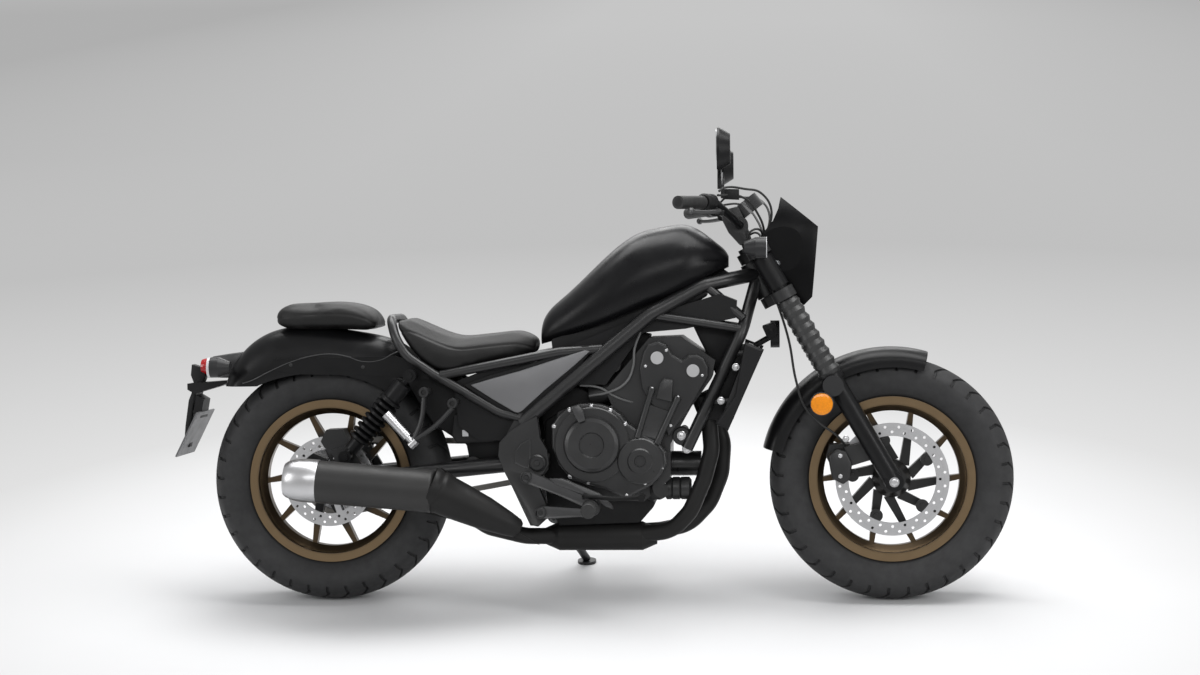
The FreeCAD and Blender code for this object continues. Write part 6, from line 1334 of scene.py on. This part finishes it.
def make_world():
    """Soft even light, seen as a plain pale backdrop."""
    world = bpy.data.worlds.new("studio")
    bpy.context.scene.world = world
    world.use_nodes = True
    tree = world.node_tree
    soft = tree.nodes["Background"]
    soft.inputs["Color"].default_value = (*SOFT_LIGHT, 1)
    soft.inputs["Strength"].default_value = SOFT_STRENGTH
    pale = tree.nodes.new("ShaderNodeBackground")
    pale.inputs["Color"].default_value = (SKY_GREY, SKY_GREY, SKY_GREY, 1)
    mix = tree.nodes.new("ShaderNodeMixShader")
    join(tree, picture_ray(tree), mix.inputs["Fac"])
    join(tree, soft.outputs["Background"], mix.inputs[1])
    join(tree, pale.outputs["Background"], mix.inputs[2])
    join(tree, mix.outputs["Shader"], tree.nodes["World Output"].inputs["Surface"])


def backdrop_light_falloff(tree, distance):
    """The grey of the far floor, with painted light falloff: paler near the machine as a painted pool of
    light, darker behind it and to the sides as painted shade.
    """
    far = arithmetic(tree, "LOGARITHM", distance, 10)
    fading = spread(tree, far, math.log10(FADE_FROM), math.log10(FADE_TO), 0, 1)
    tone = tint(tree, fading, (NEAR_LIT_GREY,) * 3, (FAR_GREY,) * 3)
    tone = shift_colour(tree, spread(tree, distance, *HIGH_BAND, 0, 1), tone, (HIGH_GREY,) * 3)
    across = arithmetic(tree, "ABSOLUTE", split(tree, place_vector(tree))[0])
    behind = spread(tree, distance, *BEHIND_BAND, 0, 1)
    sides = arithmetic(tree, "MULTIPLY", spread(tree, across, *CORNER_BAND, 0, 1), behind)
    tone = shift_colour(tree, sides, tone, (CORNER_SHADE_GREY,) * 3)
    return shift_colour(tree, spread(tree, distance, *SKY_BAND, 0, 1), tone, (SKY_GREY,) * 3)


def make_floor():
    """A pale floor that takes the shadow and melts into the backdrop far away."""
    bpy.ops.object.select_all(action="DESELECT")
    bpy.ops.mesh.primitive_plane_add(size=FLOOR_SIZE)
    floor = bpy.context.object
    floor.name = "studio_floor"
    material, tree, shader = start_material("floor_paint")
    join(tree, mottled(tree, 2, 3, *FLOOR_SHADES), shader.inputs["Base Color"])
    shader.inputs["Roughness"].default_value = 0.75
    shader.inputs["Specular IOR Level"].default_value = 0.1
    length = tree.nodes.new("ShaderNodeVectorMath")
    length.operation = "LENGTH"
    join(tree, place_vector(tree), length.inputs[0])
    distance = length.outputs["Value"]
    glow = tree.nodes.new("ShaderNodeEmission")
    join(tree, backdrop_light_falloff(tree, distance), glow.inputs["Color"])
    away = arithmetic(tree, "MULTIPLY", spread(tree, distance, LIT_RADIUS, FADED_RADIUS, 0, 1),
                      picture_ray(tree))
    mix = tree.nodes.new("ShaderNodeMixShader")
    join(tree, away, mix.inputs["Fac"])
    join(tree, shader.outputs["BSDF"], mix.inputs[1])
    join(tree, glow.outputs["Emission"], mix.inputs[2])
    join(tree, mix.outputs["Shader"], tree.nodes["Material Output"].inputs["Surface"])
    floor.data.materials.append(material)


def aim(thing, target):
    """Turn a lamp toward a place."""
    direction = Vector(target) - thing.location
    thing.rotation_euler = direction.to_track_quat("-Z", "Y").to_euler()


def make_lamp(name, place, target, size, watts):
    """One large soft lamp."""
    data = bpy.data.lights.new(name, "AREA")
    data.shape = "RECTANGLE"
    data.size = size[0]
    data.size_y = size[1]
    data.energy = watts
    lamp = bpy.data.objects.new(name, data)
    bpy.context.scene.collection.objects.link(lamp)
    lamp.location = place
    aim(lamp, target)


# Each lamp's place, what it is aimed at, its two widths and its power

LAMPS = {
    "top_light": ((0.1, 0.35, 3.2), (0, 0.15, 0.4), (4.6, 1.8), 150),
    "front_light": ((3.4, -2.6, 1.8), (0.2, 0, 0.5), (1.0, 2.0), 34),
    "rear_light": ((-3.4, -2.4, 1.8), (-0.2, 0, 0.5), (1.0, 2.0), 30),
    "far_light": ((0, 3.6, 2.4), (0, 0, 0.6), (3.5, 1.6), 45),
    "side_light": ((0.6, -4.2, 3.0), (0.0, 0, 0.6), (4.0, 0.9), 40),
}


def make_lights():
    """The lamp over the machine and the ones round it."""
    for name, values in LAMPS.items():
        make_lamp(name, *values)


CAMERA_PLACE = (1.141, -5.526, 0.836)
CAMERA_YAW = math.radians(4.33)
CAMERA_DIP = math.radians(1.44)
CAMERA_ROLL = math.radians(-0.62)
PHOTO_WIDTH = 1200
FOCAL_PIXELS = 2079
SENSOR_WIDTH = 36.0


def make_camera():
    """The photograph's camera, carried over with the machine's lean."""
    level = math.cos(CAMERA_DIP)
    look = Vector((-math.sin(CAMERA_YAW) * level, math.cos(CAMERA_YAW) * level, -math.sin(CAMERA_DIP)))
    right = Vector((math.cos(CAMERA_YAW), math.sin(CAMERA_YAW), 0))
    above = right.cross(look)
    rolled_right = right * math.cos(CAMERA_ROLL) + above * math.sin(CAMERA_ROLL)
    rolled_above = above * math.cos(CAMERA_ROLL) - right * math.sin(CAMERA_ROLL)
    turn = Matrix((rolled_right, rolled_above, -look)).transposed().to_4x4()
    data = bpy.data.cameras.new("photo_camera")
    data.sensor_width = SENSOR_WIDTH
    data.lens = FOCAL_PIXELS / PHOTO_WIDTH * SENSOR_WIDTH
    data.dof.use_dof = False
    camera = bpy.data.objects.new("photo_camera", data)
    bpy.context.scene.collection.objects.link(camera)
    camera.matrix_world = BIKE @ Matrix.Translation(CAMERA_PLACE) @ turn
    bpy.context.scene.camera = camera


make_camera()
make_world()
make_floor()
make_lights()
dress_nodes()

bpy.context.scene.view_settings.view_transform = "Standard"
